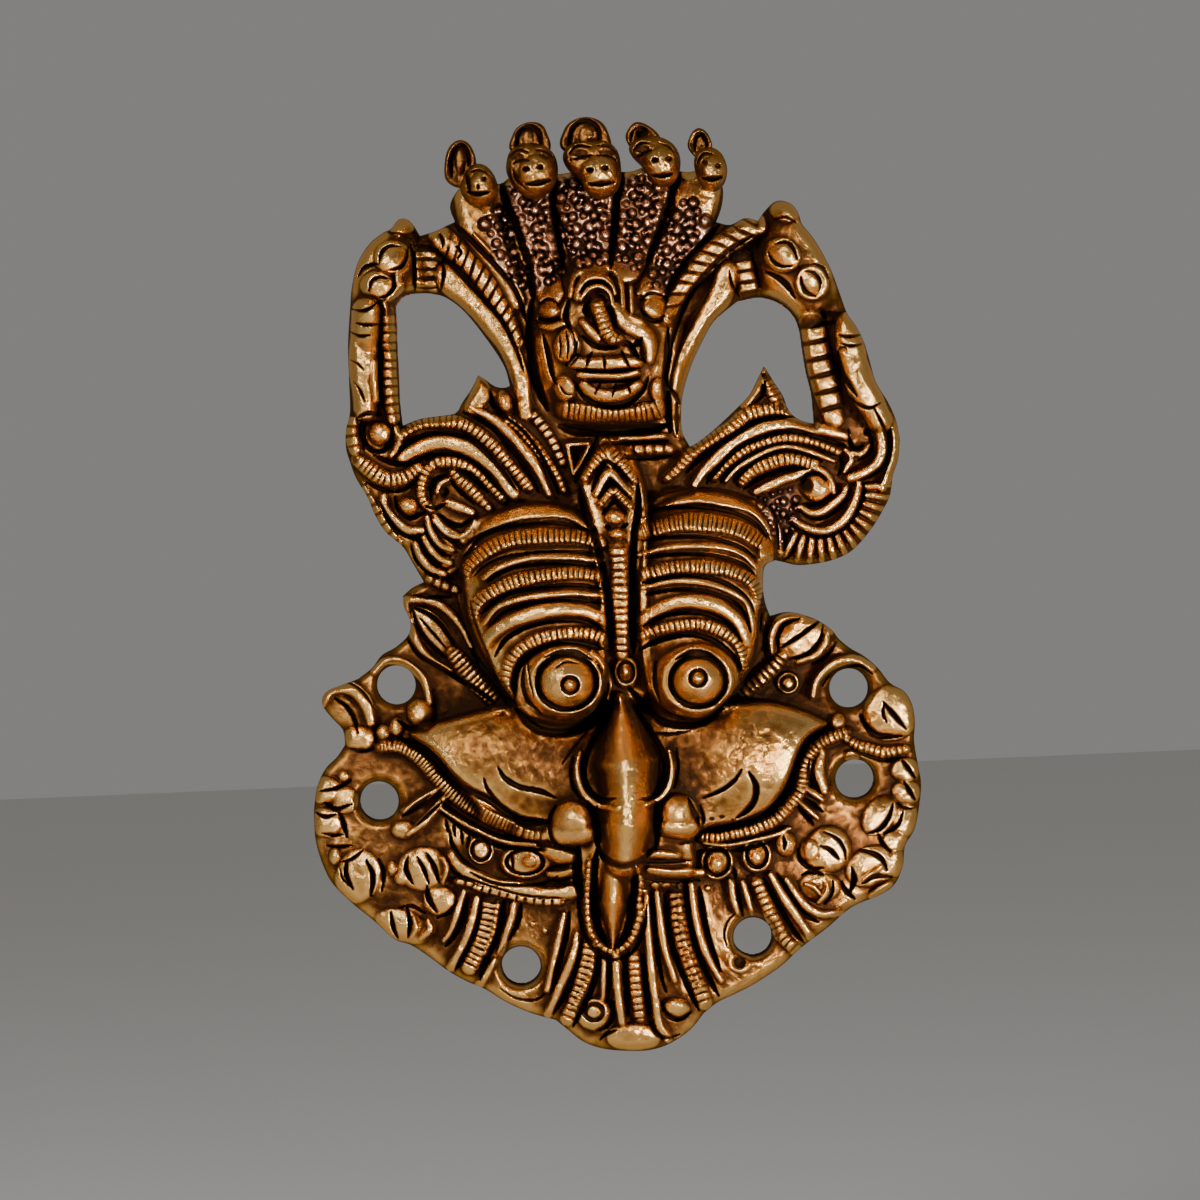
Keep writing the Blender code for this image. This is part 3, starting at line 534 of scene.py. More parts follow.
CHEEKS = carvings("""
groove 3.4|9|516,709 528,722 540,730 560,733 580,729 600,717 618,702
groove 3.4|8|628,687 655,716 668,723 690,725 708,719 724,704
groove 1.6|3|650,733 670,734 690,731
groove 3.6|9|400,738 430,755 460,783 475,793 490,800 520,820 548,823
roll 4.6 4|13 16 17 15|380,747 395,746 411,752 425,763 437,778 463,801 495,820 512,827
roll 4.6 6|13 13 10|512,828 528,834 545,836
groove 2.4|4|440,800 458,815 478,827 500,836 530,841
roll 4|5 6 6 5|438,806 455,818 500,840 535,845
groove 3|5|442,812 460,826 480,838 505,847 545,850
groove 2.6|6|498,767 505,778 520,787 540,791 556,798
groove 2.4|5|484,778 488,790 505,810 520,818 550,821
groove 0.8|3|588,730 562,764
groove 3.6|8|828,725 812,736 803,747 797,760 787,790 775,805 760,815 725,828 700,830
roll 4.6 5|12 14 15 14 12|848,732 820,743 806,762 801,788 796,797 778,817 765,824 750,830 720,836 701,836
roll 3.4|4 5 5 4|790,828 772,836 728,845 704,843
groove 2.4|5|742,769 735,780 722,790 703,798
groove 3|7|749,772 756,786 754,801 745,812 736,818
groove 3.2|8|688,798 700,828
bump -0.8|3 2|712,819
bump -0.8|3 2|722,817
bump -0.8|2 2|733,820
dome 7.2|21 22|572,822
dome 6.6|28 13|570,833
dome 6.8|19 21|679,814
dome 6.3|26 12|681,827
groove 3.4|7|588,802 595,814 598,832 598,850
groove 2.6|5|556,806 550,820 552,838 562,848 580,850
groove 3.4|7|656,802 656,845
groove 2.6|5|700,806 703,820 697,838 680,844
roll 4.4|5 8 8 6|580,752 577,766 579,782 586,796 600,806 617,808
groove 2|3|573,757 571,776 576,792 588,803
roll 4|5 7 7 5|669,750 672,768 669,786 660,798 648,804
groove 2|3|676,748 678,768 674,788
""")
# The wide groove under the nose tip is cut in and also darkened as a painted shadow under the nose
NOSE_MARKS = carvings("""
groove 2.8|6|612,708 592,744 585,762 584,778 590,792 602,800 616,798
groove 2.8|6|633,706 657,742 664,758 665,772 659,788 650,798 640,799
groove 2|5|597,806 595,828 599,848 606,858
groove 2|5|657,804 659,826 655,846 646,858
groove 2.6|9|598,850 606,859 622,866 640,861 650,850
""")
# Brown areas of the old surface; a share below nothing is a rubbed place, and the pale strip down the nose
# ridge is also a painted highlight
STAINS = carvings("""
stain 0.22|55 30|562,736
stain 0.1|42 40|536,777
stain 0.1|95 62|500,735
stain 0.16|48 26|470,710
stain 0.22|48 30|681,736
stain 0.22|38 38|684,782
stain 0.2|48 16|745,700
stain 0.14|24 20|788,683
stain 0.14|14 42|592,765
stain 0.14|14 42|650,765
stain 0.16|42 44|379,801
stain 0.12|22 32|886,791
stain 0.22|24 14|392,902
stain 0.1|22 34|452,214
stain 0.08|20 24|722,204
stain -0.1|34 34|571,683
stain -0.12|34 34|698,677
stain -0.2|34 26|625,838
stain -0.16|12 60|622,775
stain -0.26|17 52|614,902
""")
MOUTH = carvings("""
roll 5|12 16 17 15|452,855 462,868 495,885 512,888 530,892 550,894 572,892
groove 2.6|5|450,830 452,844 462,860 478,870
groove 2.4|4|446,820 448,832
groove 2.4|4|453,822 455,836
groove 2.4|4|461,829 463,844
groove 2.4|4|469,834 468,848
dome 4.6|13 15|481,850
ring 4.5 -2.8|9 10|481,850
dome 4.8|26 19|525,862
ring 4.5 -2.8|18 12|525,862
groove 2|4|512,852 513,870
bump 1.8|7 6|530,861
groove 2.6|4|470,872 488,881 508,885 540,884 558,876
roll 5|12 16 10|548,852 560,856 574,858
groove 2.6|4|548,868 573,863
roll 4.4|6 8 6|548,874 560,874 573,871
groove 2.6|4|546,880 560,880 574,877
dome 4.8|18 18|717,862
ring 5 -3|12 13|717,862
bump 1.2|7 8|717,864
groove 3|5|699,851 715,850 732,851
dome 4.8|16 18|757,856
ring 5 -3|10 12|757,855
bump 1.2|6 7|757,857
groove 3|5|730,851 750,848 770,842
dome 4.2|11 13|786,844
groove 2.6|5|783,836 785,843 784,850
groove 2.4|5|732,866 736,878
roll 5|7 9 7|645,855 660,854 678,856
groove 3|5|640,862 692,860
roll 4.8|8 10 9|650,870 672,873 702,872
groove 2.4|4|645,879 670,881 700,880
bump 1.6|5 4|655,886
bump 1.6|5 4|667,886
bump 1.6|5 4|681,886
groove 5|11|578,846 577,870 580,898
groove 5|8|597,850 594,872 594,900 598,925 607,946
groove 5|8|633,862 635,885 629,925 619,947
roll 4.4 6|7 8 8 7|589,862 587,900 588,920 592,935 600,946 612,952
roll 4.4 7|7 9 9 8|637,868 641,885 638,900 640,915 631,940 618,951
groove|4|578,896 580,915 585,935 596,952 612,960 632,952 644,930 647,905
roll 4 9|8 8 8 8|456,881 470,884 482,889 534,901 562,902
groove 2|3|450,872 500,889 530,896 565,898
""")
BEARD = carvings("""
roll 3.4|6 8 6|464,891 451,930 444,940
groove 3|6|468,898 463,918 455,934 446,946
roll 3.8|8 10 9|477,898 472,920 465,940 451,967
groove 3|5|482,902 477,925 469,945 455,970
roll 3.4 6|18 19 17|490,902 486,925 480,945 470,966
roll 4.2 7|6 7 6|498,902 492,935 485,953
groove 3.2|6|504,900 502,920 496,938 488,955 480,980
roll 3.8|8 9 8|514,904 510,922 500,952
roll 3.2|6 8 8|495,960 487,974 478,986
groove 3|7|521,904 517,922 508,940
roll 3.8|6 8 8 7|564,914 547,990
groove 3.2|6|569,912 566,935 552,986
roll 3.8|7 10 10 8|577,934 572,958 548,1014
groove 3|5|582,940 576,968 567,990 553,1014
roll 3.4 6.5|15 18 17 15|590,942 587,965 580,988 568,1018
roll 4.2 7|6 7 6|593,950 592,966 588,980 574,1010
groove 3.2|6|599,948 597,970 591,990 573,1026
roll 3.8|6 7 6|604,960 603,998
groove 3|5|609,956 609,980 607,1002
roll 4|9 10 10 9|616,956 617,985 622,1022
groove 3.2|6|625,956 628,1016
roll 3.4 7|13 14 13|634,955 636,985 640,1019
groove 3.2|6|643,955 650,1016
roll 3.8|7 9 10 9|646,892 647,920 652,975 656,1002 659,1024 668,1038
groove 3|4|652,896 654,925 661,975 666,992
roll 3.8|7 9 7|657,893 664,945 675,980
groove 3.2|6|665,895 668,925 675,955 699,1010
roll 3.4 7|16 18 17|676,892 680,925 686,951 704,1002
roll 4.4 9|7 9 8|678,896 685,945 700,988
groove 3.2|6|686,888 690,922 698,952 710,980 719,996
roll 3.8|8 9 7|691,884 695,915 702,943 712,965 721,980
groove 3|7|699,888 704,920 711,948 720,972
roll 3.4|8 9 7|731,882 733,897 738,913
groove 3|5|737,884 739,900 743,916
roll 3.4|6 8 6|743,882 752,912
roll 3.6 6.5|13 15 15 13|756,880 773,918 783,937 796,950
groove 3.2|6|763,878 790,925 804,943
roll 3.4|8 11 9|771,875 784,897 810,936
groove 2.8|5|777,874 803,912 818,922
roll 3.4|7 10 9 6|787,880 800,900 818,913 842,913
dome 4|18 17|594,1014
ring 6 -1.8|9 8|594,1012
groove 2.8|6|611,1000 613,1014 606,1026 596,1030
bump 1.4|5 6|602,1014
dome 4|14 11|677,1008
groove 2.8|6|662,1002 667,1014 679,1019 690,1012
groove|5|650,1021 656,1033 668,1038 680,1034
dome 4|28 15|634,1037
groove 1.8|4|600,1040 606,1034 616,1030
bump -1.6|6 6|740,962
ring 5 0.8|10 9|740,962
bump 0.8|3 3|533,924
bump 0.8|3 3|545,931
bump 0.8|4 3|708,888
groove 1.2|3|728,948 724,935 728,921 736,914
groove 1.2|3|500,988 515,998 535,1000 548,992
""")
LEFT_WING = carvings("""
dome 4.6|12 12|380,433
groove 2.8|5|366,420 363,435 368,447 378,452 388,447 393,434
roll 3.8|6 8 6|396,428 399,442 391,456
roll 4 10|14 15 12|351,416 351,432 355,450
groove 2.4|4|362,418 360,432 364,450
roll 4.6 5.5|14 18 18 12|358,460 380,476 392,479 405,477 418,468
groove 3|6|374,455 390,462 405,464 418,462
groove 2.6|4|366,482 378,488 392,491 405,489 415,482
roll 4.6 5.8|10 14 15 14 13|398,438 412,428 430,422 462,424 490,443 529,487
groove 3|5|399,448 420,437 440,433 460,436 475,443 500,468 517,491
roll 4.4|12 18 18 14|402,459 413,451 440,442 468,448 492,465 514,494
groove 3|5|414,462 430,456 450,454 465,458 480,468 501,492
roll 4.2 5.5|9 12 13 12 9|503,500 490,485 468,467 455,462 440,462 430,467 424,476 421,488 423,500 431,509
groove 3|6|456,470 466,472 477,480 488,492
roll 4 5.5|9 13 13 9|451,470 460,480 470,488 489,508
groove 2.6|4|449,478 460,491 474,504
groove 2.8|5|431,500 431,488 436,479 446,475
roll 3.4|5 7 5|437,492 440,484 449,479
bump -1.6|5 5|444,492
groove 2.6|5|424,506 436,508 447,503
roll 3|10 12 9|448,503 472,512
groove 2.8|5|438,514 448,522 460,526 472,519
roll 3.4|5 7 7 5|434,520 444,531 457,537 469,532 475,521
roll 3.8|8 11 11 8|384,496 386,510 406,529 422,530
groove 2.8|5|380,502 388,518 399,531 412,537 427,533
dome 4.4|11 10|408,506
groove 2.8|5|395,497 399,510 410,518 425,512
roll 3.4 11|9 12 12 9|361,486 384,526 398,543
roll 3.6|6 9 8|427,517 430,530 440,545 453,550
groove 2.6|4|424,524 429,538 440,551 451,557
roll 3.6|6 9 8|422,533 428,545 439,558 451,563
groove 2.6|4|418,538 424,551 435,564 447,569
roll 3.6|6 9 8|415,543 421,557 432,569 445,574
groove 2.6|4|411,546 416,560 428,573 438,578
roll 3.4|5 7 5|435,516 445,528 458,534
roll 2.4|6 8 6|474,545 462,552 455,568
roll 4.2|7 12 12 8|470,407 500,424 532,460 549,494
roll 3|14 24 18|480,380 480,395 473,408
groove 3|5|463,412 480,420 495,430 507,445 520,460 539,492
groove 3|4|498,407 506,417 520,428 533,443 552,475 559,494
dome 4.4 -20|8 12|505,402
groove 3|6|490,391 494,407 504,418
roll 4 6|8 11 11 8|506,418 518,427 527,437 537,447 556,474 564,490
roll 2.2 8|10 12 10|520,400 538,420 552,440 562,462
""")
RIGHT_WING = carvings("""
roll 3.4|12 17 10|757,370 754,386 744,404
bump -1.4|3 3|764,375
roll 3.6 5.5|13 16 14|769,380 778,406
groove 2.8|5|765,381 764,393 756,402
roll 4.6 5.8|9 14 16 16 13|666,480 680,467 690,455 702,445 728,431 740,420 752,413 780,409 790,412
groove 3|6|686,472 715,446 745,428 760,420 775,417 792,417
roll 4.4|9 14 16 15 10|695,485 707,468 735,443 765,428 800,424 812,428 825,430 846,436
groove 3|5|706,483 735,450 765,435 785,431 800,432 846,446
roll 4.2 5.5|7 10 10 8|714,480 725,466 750,448 785,438 815,443 838,452
groove 2.6|3|720,483 735,465 765,448 785,443 805,445 838,456
roll 4|5 7 7 5|726,481 740,466 770,450 785,447 805,450 834,461
groove 3|4|736,480 750,466 765,456 785,450 805,454 822,461
roll 4.2 5.5|11 16 16 13|742,482 747,475 757,468 785,459 814,464
groove 3|5|744,489 760,478 790,467 808,469
roll 3.8|8 12 11 8|756,492 782,480 795,476 808,470
punches 9 3.2 0.5||758,496 795,484 800,512 792,540 775,545 764,520
dome 4.6|16 15|818,488
bump -1|6 8|808,486
roll 4.2|6 8 6|812,467 823,471 831,480 834,492
groove 2.8|4|801,480 808,473 819,474 826,481
groove 2.8|5|802,503 813,505 823,501 831,494
roll 4|6 9 9 6|800,507 811,513 823,511 841,497 846,487
groove 2.8|4|798,510 811,518 825,517 836,511 844,503 851,489
roll 4|7 10 10 7|793,519 805,527 820,531 833,528 845,519 853,506 858,492 859,482
groove 2.6|4|790,524 804,533 820,537 836,533 849,524 858,510 864,494 864,482
groove 2.8|5|848,430 850,442 855,449 863,446
roll 4.2|6 8 6|869,446 862,454 852,453
groove 2.8|5|868,432 872,441 869,452 858,460
bump -1.2|4 4|868,432
roll 4.4|10 13 13 9|864,404 877,424 883,444 879,461 866,472 850,478
groove 2.8|4|874,408 884,428 888,447 884,463 873,474 858,481
roll 4|11 13 12 9|886,402 896,428 897,454 890,474 882,488
roll 3.8|6 8 6|846,450 852,459 844,471
groove 2.6|5|840,456 843,466 838,476
""")
SIDES = carvings("""
groove 1.6|3|782,560 790,556 794,546
roll 4|7 9 9 7|405,602 408,620 420,648 432,660 450,671
roll 4|7 9 9 7|405,600 425,600 440,605 452,615 462,628 471,646
dome 2.1 -38|15 30|433,632
groove 2.8|5|413,611 419,628 431,645 448,659
groove 2.8|5|415,608 430,615 443,627 456,647
groove 1.8|3|420,618 446,648
groove 2.6|5|408,640 420,655 440,667 480,692 498,706
roll 4.2 5.5|17 22 18|452,652 473,677 498,704
groove 2.6|5|470,648 506,700
roll 3.4 9|9 11 9|425,578 456,590
groove|4|413,595 430,598 452,597
roll 3.8|7 9 10 8|374,672 384,662 398,661 412,668 424,680 430,702
roll 4.4|11 15 15 11|322,702 330,689 345,687 358,693 367,706 371,722
groove 2.6|5|334,698 346,706 354,718 358,733
groove|4|344,681 357,687 366,696 374,708
dome 3.4|15 15|421,713
groove 2.8|6|398,720 408,728 424,731 436,724
dome 2.9|18 13|360,738
dome 2.8|9 10|383,733
dome 2.8|8 10|396,727
groove|4|350,748 362,751 374,748
groove 2.4|3|374,728 376,742
dome 2.5 -28|37 25|799,640
roll 5|6 9 9 7|772,652 771,638 774,628 780,620 790,616 803,617
groove 3|5|778,650 778,635 785,623 800,618
groove 2.8|5|780,648 795,639 821,620
groove 2.6|4|823,625 820,640 807,654 790,659
roll 4.6|6 8 6|828,632 825,645 815,656 798,662
groove|4|836,642 826,656 812,664
bump 1.6|6 6|831,629
dome 3.1|12 12|788,683
ring 4 -1.6|7 7|788,683
roll 4.2|7 9 10 8|813,696 817,680 828,668 842,661 858,660 872,668
groove|4|822,686 830,675 845,667 860,665 872,674
dome 3.1 15|28 28|891,713
groove 2.8|6|883,702 906,729
groove 2|4|884,704 883,714 887,722
groove 2.8|6|860,715 868,728 880,736 902,736
roll 4.2 5.5|9 12 12 9|845,737 858,745 870,748 885,752 906,749
groove|4|852,750 868,756 886,760 906,757
dome 2.4|8 7|852,756
dome 2.5|9 9|838,722
roll 3|10 13 10|822,752 819,770 824,790
groove 2|4|810,758 808,772 812,788
roll 4|6 8 6|804,786 822,799
groove 3|6|803,798 822,811
groove 2.8|5|799,808 813,824
roll 4|5 7 5|801,803 818,818
dome 2.5|15 13|905,770
dome 2.5|15 13|906,792
dome 2.4|14 18|906,820
groove 2.8|6|902,760 915,778
groove 2.8|6|904,782 915,800
groove|4|896,803 904,808 914,808
dome 2.7 -50|23 16|880,815
groove 2.8|6|893,804 889,817 880,829 868,833
groove 2.6|5|903,811 898,825 884,834
groove 2.4|5|878,834 883,844 891,852
dome 2.2|14 12|896,842
dome 2.5|18 14|324,790
dome 2.5|17 15|326,822
dome 2.1|14 14|345,800
groove 2.6|5|320,791 337,788 351,780
groove 2.6|5|324,802 335,809 352,804
groove 2.4|5|316,812 325,817 336,814
groove 2.8|6|339,812 344,825 347,837
groove 2.4|4|322,833 333,835 343,834
groove|4|326,845 338,847 352,845
groove|4|341,862 352,859 363,850
dome 2.1|6 6|344,776
dome 2.4|6 9|335,856
dome 2.1|5 6|344,865
roll 3.8|7 9 9 7|408,834 424,822 444,798
groove 2.8|6|403,816 430,795
groove 2.8|5|416,826 442,802
roll 3.8|6 8 6|404,811 436,790
dome 2.2|13 10|404,830
dome 2.7 15|23 28|358,876
groove 2.8|6|347,861 346,874 353,889
groove 1.8|3|340,868 343,879 352,888
groove 3|6|366,860 373,875 371,896
groove 2.4|4|378,858 384,872 382,892
dome 2.9|28 23|424,869
groove 2.8|6|408,857 406,869 413,884
groove 2.8|5|417,857 424,869 429,884
groove 2.8|6|426,853 434,866 439,882
roll 5|5 7 5|443,858 447,869 443,882
dome 2.4|8 8|402,878
dome 2.1|5 8|392,868
dome 2.8|17 16|440,900
groove 3|7|427,886 429,899 437,912
groove|4|437,918 449,912 458,901
dome 2.5 20|30 16|404,926
groove 3|6|391,912 393,926 398,938
groove 3|6|407,908 410,922 408,937
groove 2|4|398,908 412,906 426,914
roll 4|6 8 5|421,938 430,930 428,920
roll 4|5 7 5|411,938 416,928 414,918
dome 2.8 30|24 25|828,850
groove 2.6|4|824,832 836,838 844,848 846,860
groove 2.8|6|821,846 830,850 839,859
bump 1.6|10 11|809,850
groove 2.6|5|797,849 801,861 812,868 824,868
dome 2.4|21 16|820,886
groove 2.6|5|802,875 812,872 824,875
roll 4.6|5 7 5|828,884 826,894 819,902
groove|4|833,880 832,893 824,904
groove 2.6|6|841,882 846,891 855,899
roll 4|5 6 5|806,884 814,887 820,894
dome 2.8 -20|28 20|872,866
groove 2.8|6|859,850 872,853 882,859 887,870
groove 2.8|6|862,884 874,876 892,877
roll 5|6 8 5|864,880 882,866
roll 3.6|7 9 6|872,896 890,884
dome 2.2|12 15|896,862
groove 2.6|8|852,868 854,880 850,892
""")


def fan(centre, angles, radii, width, rise):
    """Rolls that spread from a centre, one at each angle in degrees."""
    rolls = []
    for angle in angles:
        way = np.array([math.cos(math.radians(angle)), math.sin(math.radians(angle))])
        line = [tuple(np.array(centre) + way * radius) for radius in radii]
        rolls.append(Roll(line, (width * FAN_START, width, width * FAN_END), rise))
    return rolls


FEATHERS = (
    fan((470, 560), range(150, 235, 17), (10, 22, 34), 8, 2.4)
    + fan((817, 490), range(-4, 122, 10), (48, 58, 72), 8, 3.4)
)


def resampled(points, spacing):
    """Points at even steps along a line of straight pieces."""
    lengths = np.linalg.norm(np.diff(points, axis=0), axis=1)
    travel = np.concatenate([[0], np.cumsum(lengths)])
    count = max(1, round(travel[-1] / spacing))
    stops = np.linspace(0, travel[-1], count + 1)
    return np.column_stack([np.interp(stops, travel, column) for column in points.T])


def smooth_curve(points, spacing, closed=False):
    """Evenly spaced points on a Catmull-Rom curve through the given points."""
    points = np.array(points, dtype=float)
    if closed:
        padded = np.vstack([points[-1], points, points[0], points[1]])
    else:
        padded = np.vstack([2 * points[0] - points[1], points, 2 * points[-1] - points[-2]])
    dense = []
    for before, start, end, after in zip(padded, padded[1:], padded[2:], padded[3:]):
        for share in np.linspace(0, 1, CURVE_SHARES, endpoint=False):
            slope = (end - before) * share
            bend = (2 * before - 5 * start + 4 * end - after) * share**2
            twist = (3 * start - before - 3 * end + after) * share**3
            dense.append(start + (slope + bend + twist) / 2)
    dense.append(padded[-2])
    return resampled(np.array(dense), spacing)


def loop_of_runs(runs):
    """One closed loop from smooth runs, each of which ends where the next begins."""
    return np.vstack([smooth_curve(run, BORDER_STEP)[:-1] for run in runs])


def ellipse(centre, radii, count):
    turns = np.arange(count) * math.tau / count
    return np.array(centre) + np.column_stack([np.cos(turns), np.sin(turns)]) * radii


def nearest_on(path, where):
    """Distance from each place to a path, the way along the path to there, and the side it is on."""
    starts = path[:-1]
    steps = np.diff(path, axis=0)
    lengths = np.linalg.norm(steps, axis=1)
    travel = np.concatenate([[0], np.cumsum(lengths)])
    offsets = where[:, None, :] - starts[None, :, :]
    shares = np.clip((offsets * steps).sum(axis=2) / lengths**2, 0, 1)
    distances = np.linalg.norm(offsets - shares[:, :, None] * steps, axis=2)
    best = distances.argmin(axis=1)
    rows = np.arange(len(where))
    way = travel[best] + shares[rows, best] * lengths[best]
    offset = offsets[rows, best]
    step = steps[best]
    side = np.sign(step[:, 0] * offset[:, 1] - step[:, 1] * offset[:, 0])
    return distances[rows, best], way, side


def is_inside(loops, where):
    """Whether each place is inside the loops, by counting crossings to its right."""
    inside = np.zeros(len(where), dtype=bool)
    for loop in loops:
        for (x1, y1), (x2, y2) in zip(loop, np.roll(loop, -1, axis=0)):
            if y1 == y2:
                continue
            crosses = (y1 > where[:, 1]) != (y2 > where[:, 1])
            meets_at = x1 + (where[:, 1] - y1) * (x2 - x1) / (y2 - y1)
            inside ^= crosses & (where[:, 0] < meets_at)
    return inside


def tapered_half(way, widths):
    """Half the width of a line at each way along it."""
    total = max(way.max(), 1e-6)
    return np.interp(way / total, np.linspace(0, 1, len(widths)), widths) / 2


def roll_height(roll, where):
    """Height of a raised roll and the dirt and painted shade in its cross ticks, if it has a pitch."""
    distance, way, side = nearest_on(smooth_curve(roll.points, CURVE_STEP), where)
    half = tapered_half(way, roll.widths)
    half = half * (1 + HAND_WOBBLE * np.sin(way / WOBBLE_LENGTH + roll.points[0][0]))
    reach = np.clip(distance / half, 0, 1)
    rise = roll.rise * np.sqrt(half / (max(roll.widths) / 2))
    height = rise * (1 - reach**ROLL_FULLNESS) ** 0.5
    dirt_and_shade = np.zeros(len(where))
    if roll.pitch:
        drift = TICK_DRIFT * np.sin(way * TICK_DRIFT_RATE + roll.points[0][1])
        phase = way + roll.slant * side * distance + drift
        beat = 0.5 + 0.5 * np.cos(phase * math.tau / roll.pitch)
        line = np.clip((beat - TICK_START) / (1 - TICK_START), 0, 1)
        line = line * np.clip((TICK_END - reach) * TICK_FADE, 0, 1)
        height = height - TICK_DEPTH * line
        dirt_and_shade = TICK_DIRT_AND_SHADE * line
    return height, dirt_and_shade


def groove_depth(groove, where):
    """Depth of a groove that thins out towards both ends."""
    distance, way, _ = nearest_on(smooth_curve(groove.points, CURVE_STEP), where)
    total = max(way.max(), 1e-6)
    taper = min(total / 2, GROOVE_TAPER)
    from_end = np.minimum(way, total - way)
    half = groove.width / 2 * np.sqrt(np.clip((from_end + 1) / (taper + 1), GROOVE_THINNEST, 1))
    reach = np.clip(distance / half, 0, 1)
    return groove.depth * (1 - reach**2)


def ellipse_reach(form, where):
    """Distance of each place from the middle of a turned ellipse, as a share of its radii."""
    turn = math.radians(getattr(form, "turn", 0))
    across, down = (where - form.centre).T
    along = across * math.cos(turn) + down * math.sin(turn)
    beside = down * math.cos(turn) - across * math.sin(turn)
    return np.hypot(along / form.radii[0], beside / form.radii[1])


def dome_height(form, where):
    return np.sqrt(np.clip(1 - ellipse_reach(form, where) ** 2, 0, None))


def ring_height(ring, where):
    from_line = (ellipse_reach(ring, where) - 1) * np.mean(ring.radii)
    reach = np.clip(np.abs(from_line) / (ring.width / 2), 0, 1)
    return ring.rise * (1 - reach**2)


def blended(depths):
    """The highest of several depths, with soft valleys where they meet."""
    return (np.array(depths) ** BLEND_POWER).sum(axis=0) ** (1 / BLEND_POWER)


def blurred(field, radius):
    """The field averaged three times over a square of that radius, in grid steps."""
    for _ in range(3):
        for axis in (0, 1):
            padding = [(0, 0), (0, 0)]
            padding[axis] = (radius + 1, radius)
            sums = np.cumsum(np.pad(field, padding, mode="edge"), axis=axis)
            size = 2 * radius + 1
            high = np.take(sums, range(size, sums.shape[axis]), axis=axis)
            low = np.take(sums, range(0, sums.shape[axis] - size), axis=axis)
            field = (high - low) / size
    return field


def lowest_near(field, radius):
    """The lowest value of the field within a square of that radius, in grid steps."""
    for axis in (0, 1):
        lowest = field
        for shift in range(1, radius + 1):
            for way in (shift, -shift):
                lowest = np.minimum(lowest, np.roll(field, way, axis=axis))
        field = lowest
    return field


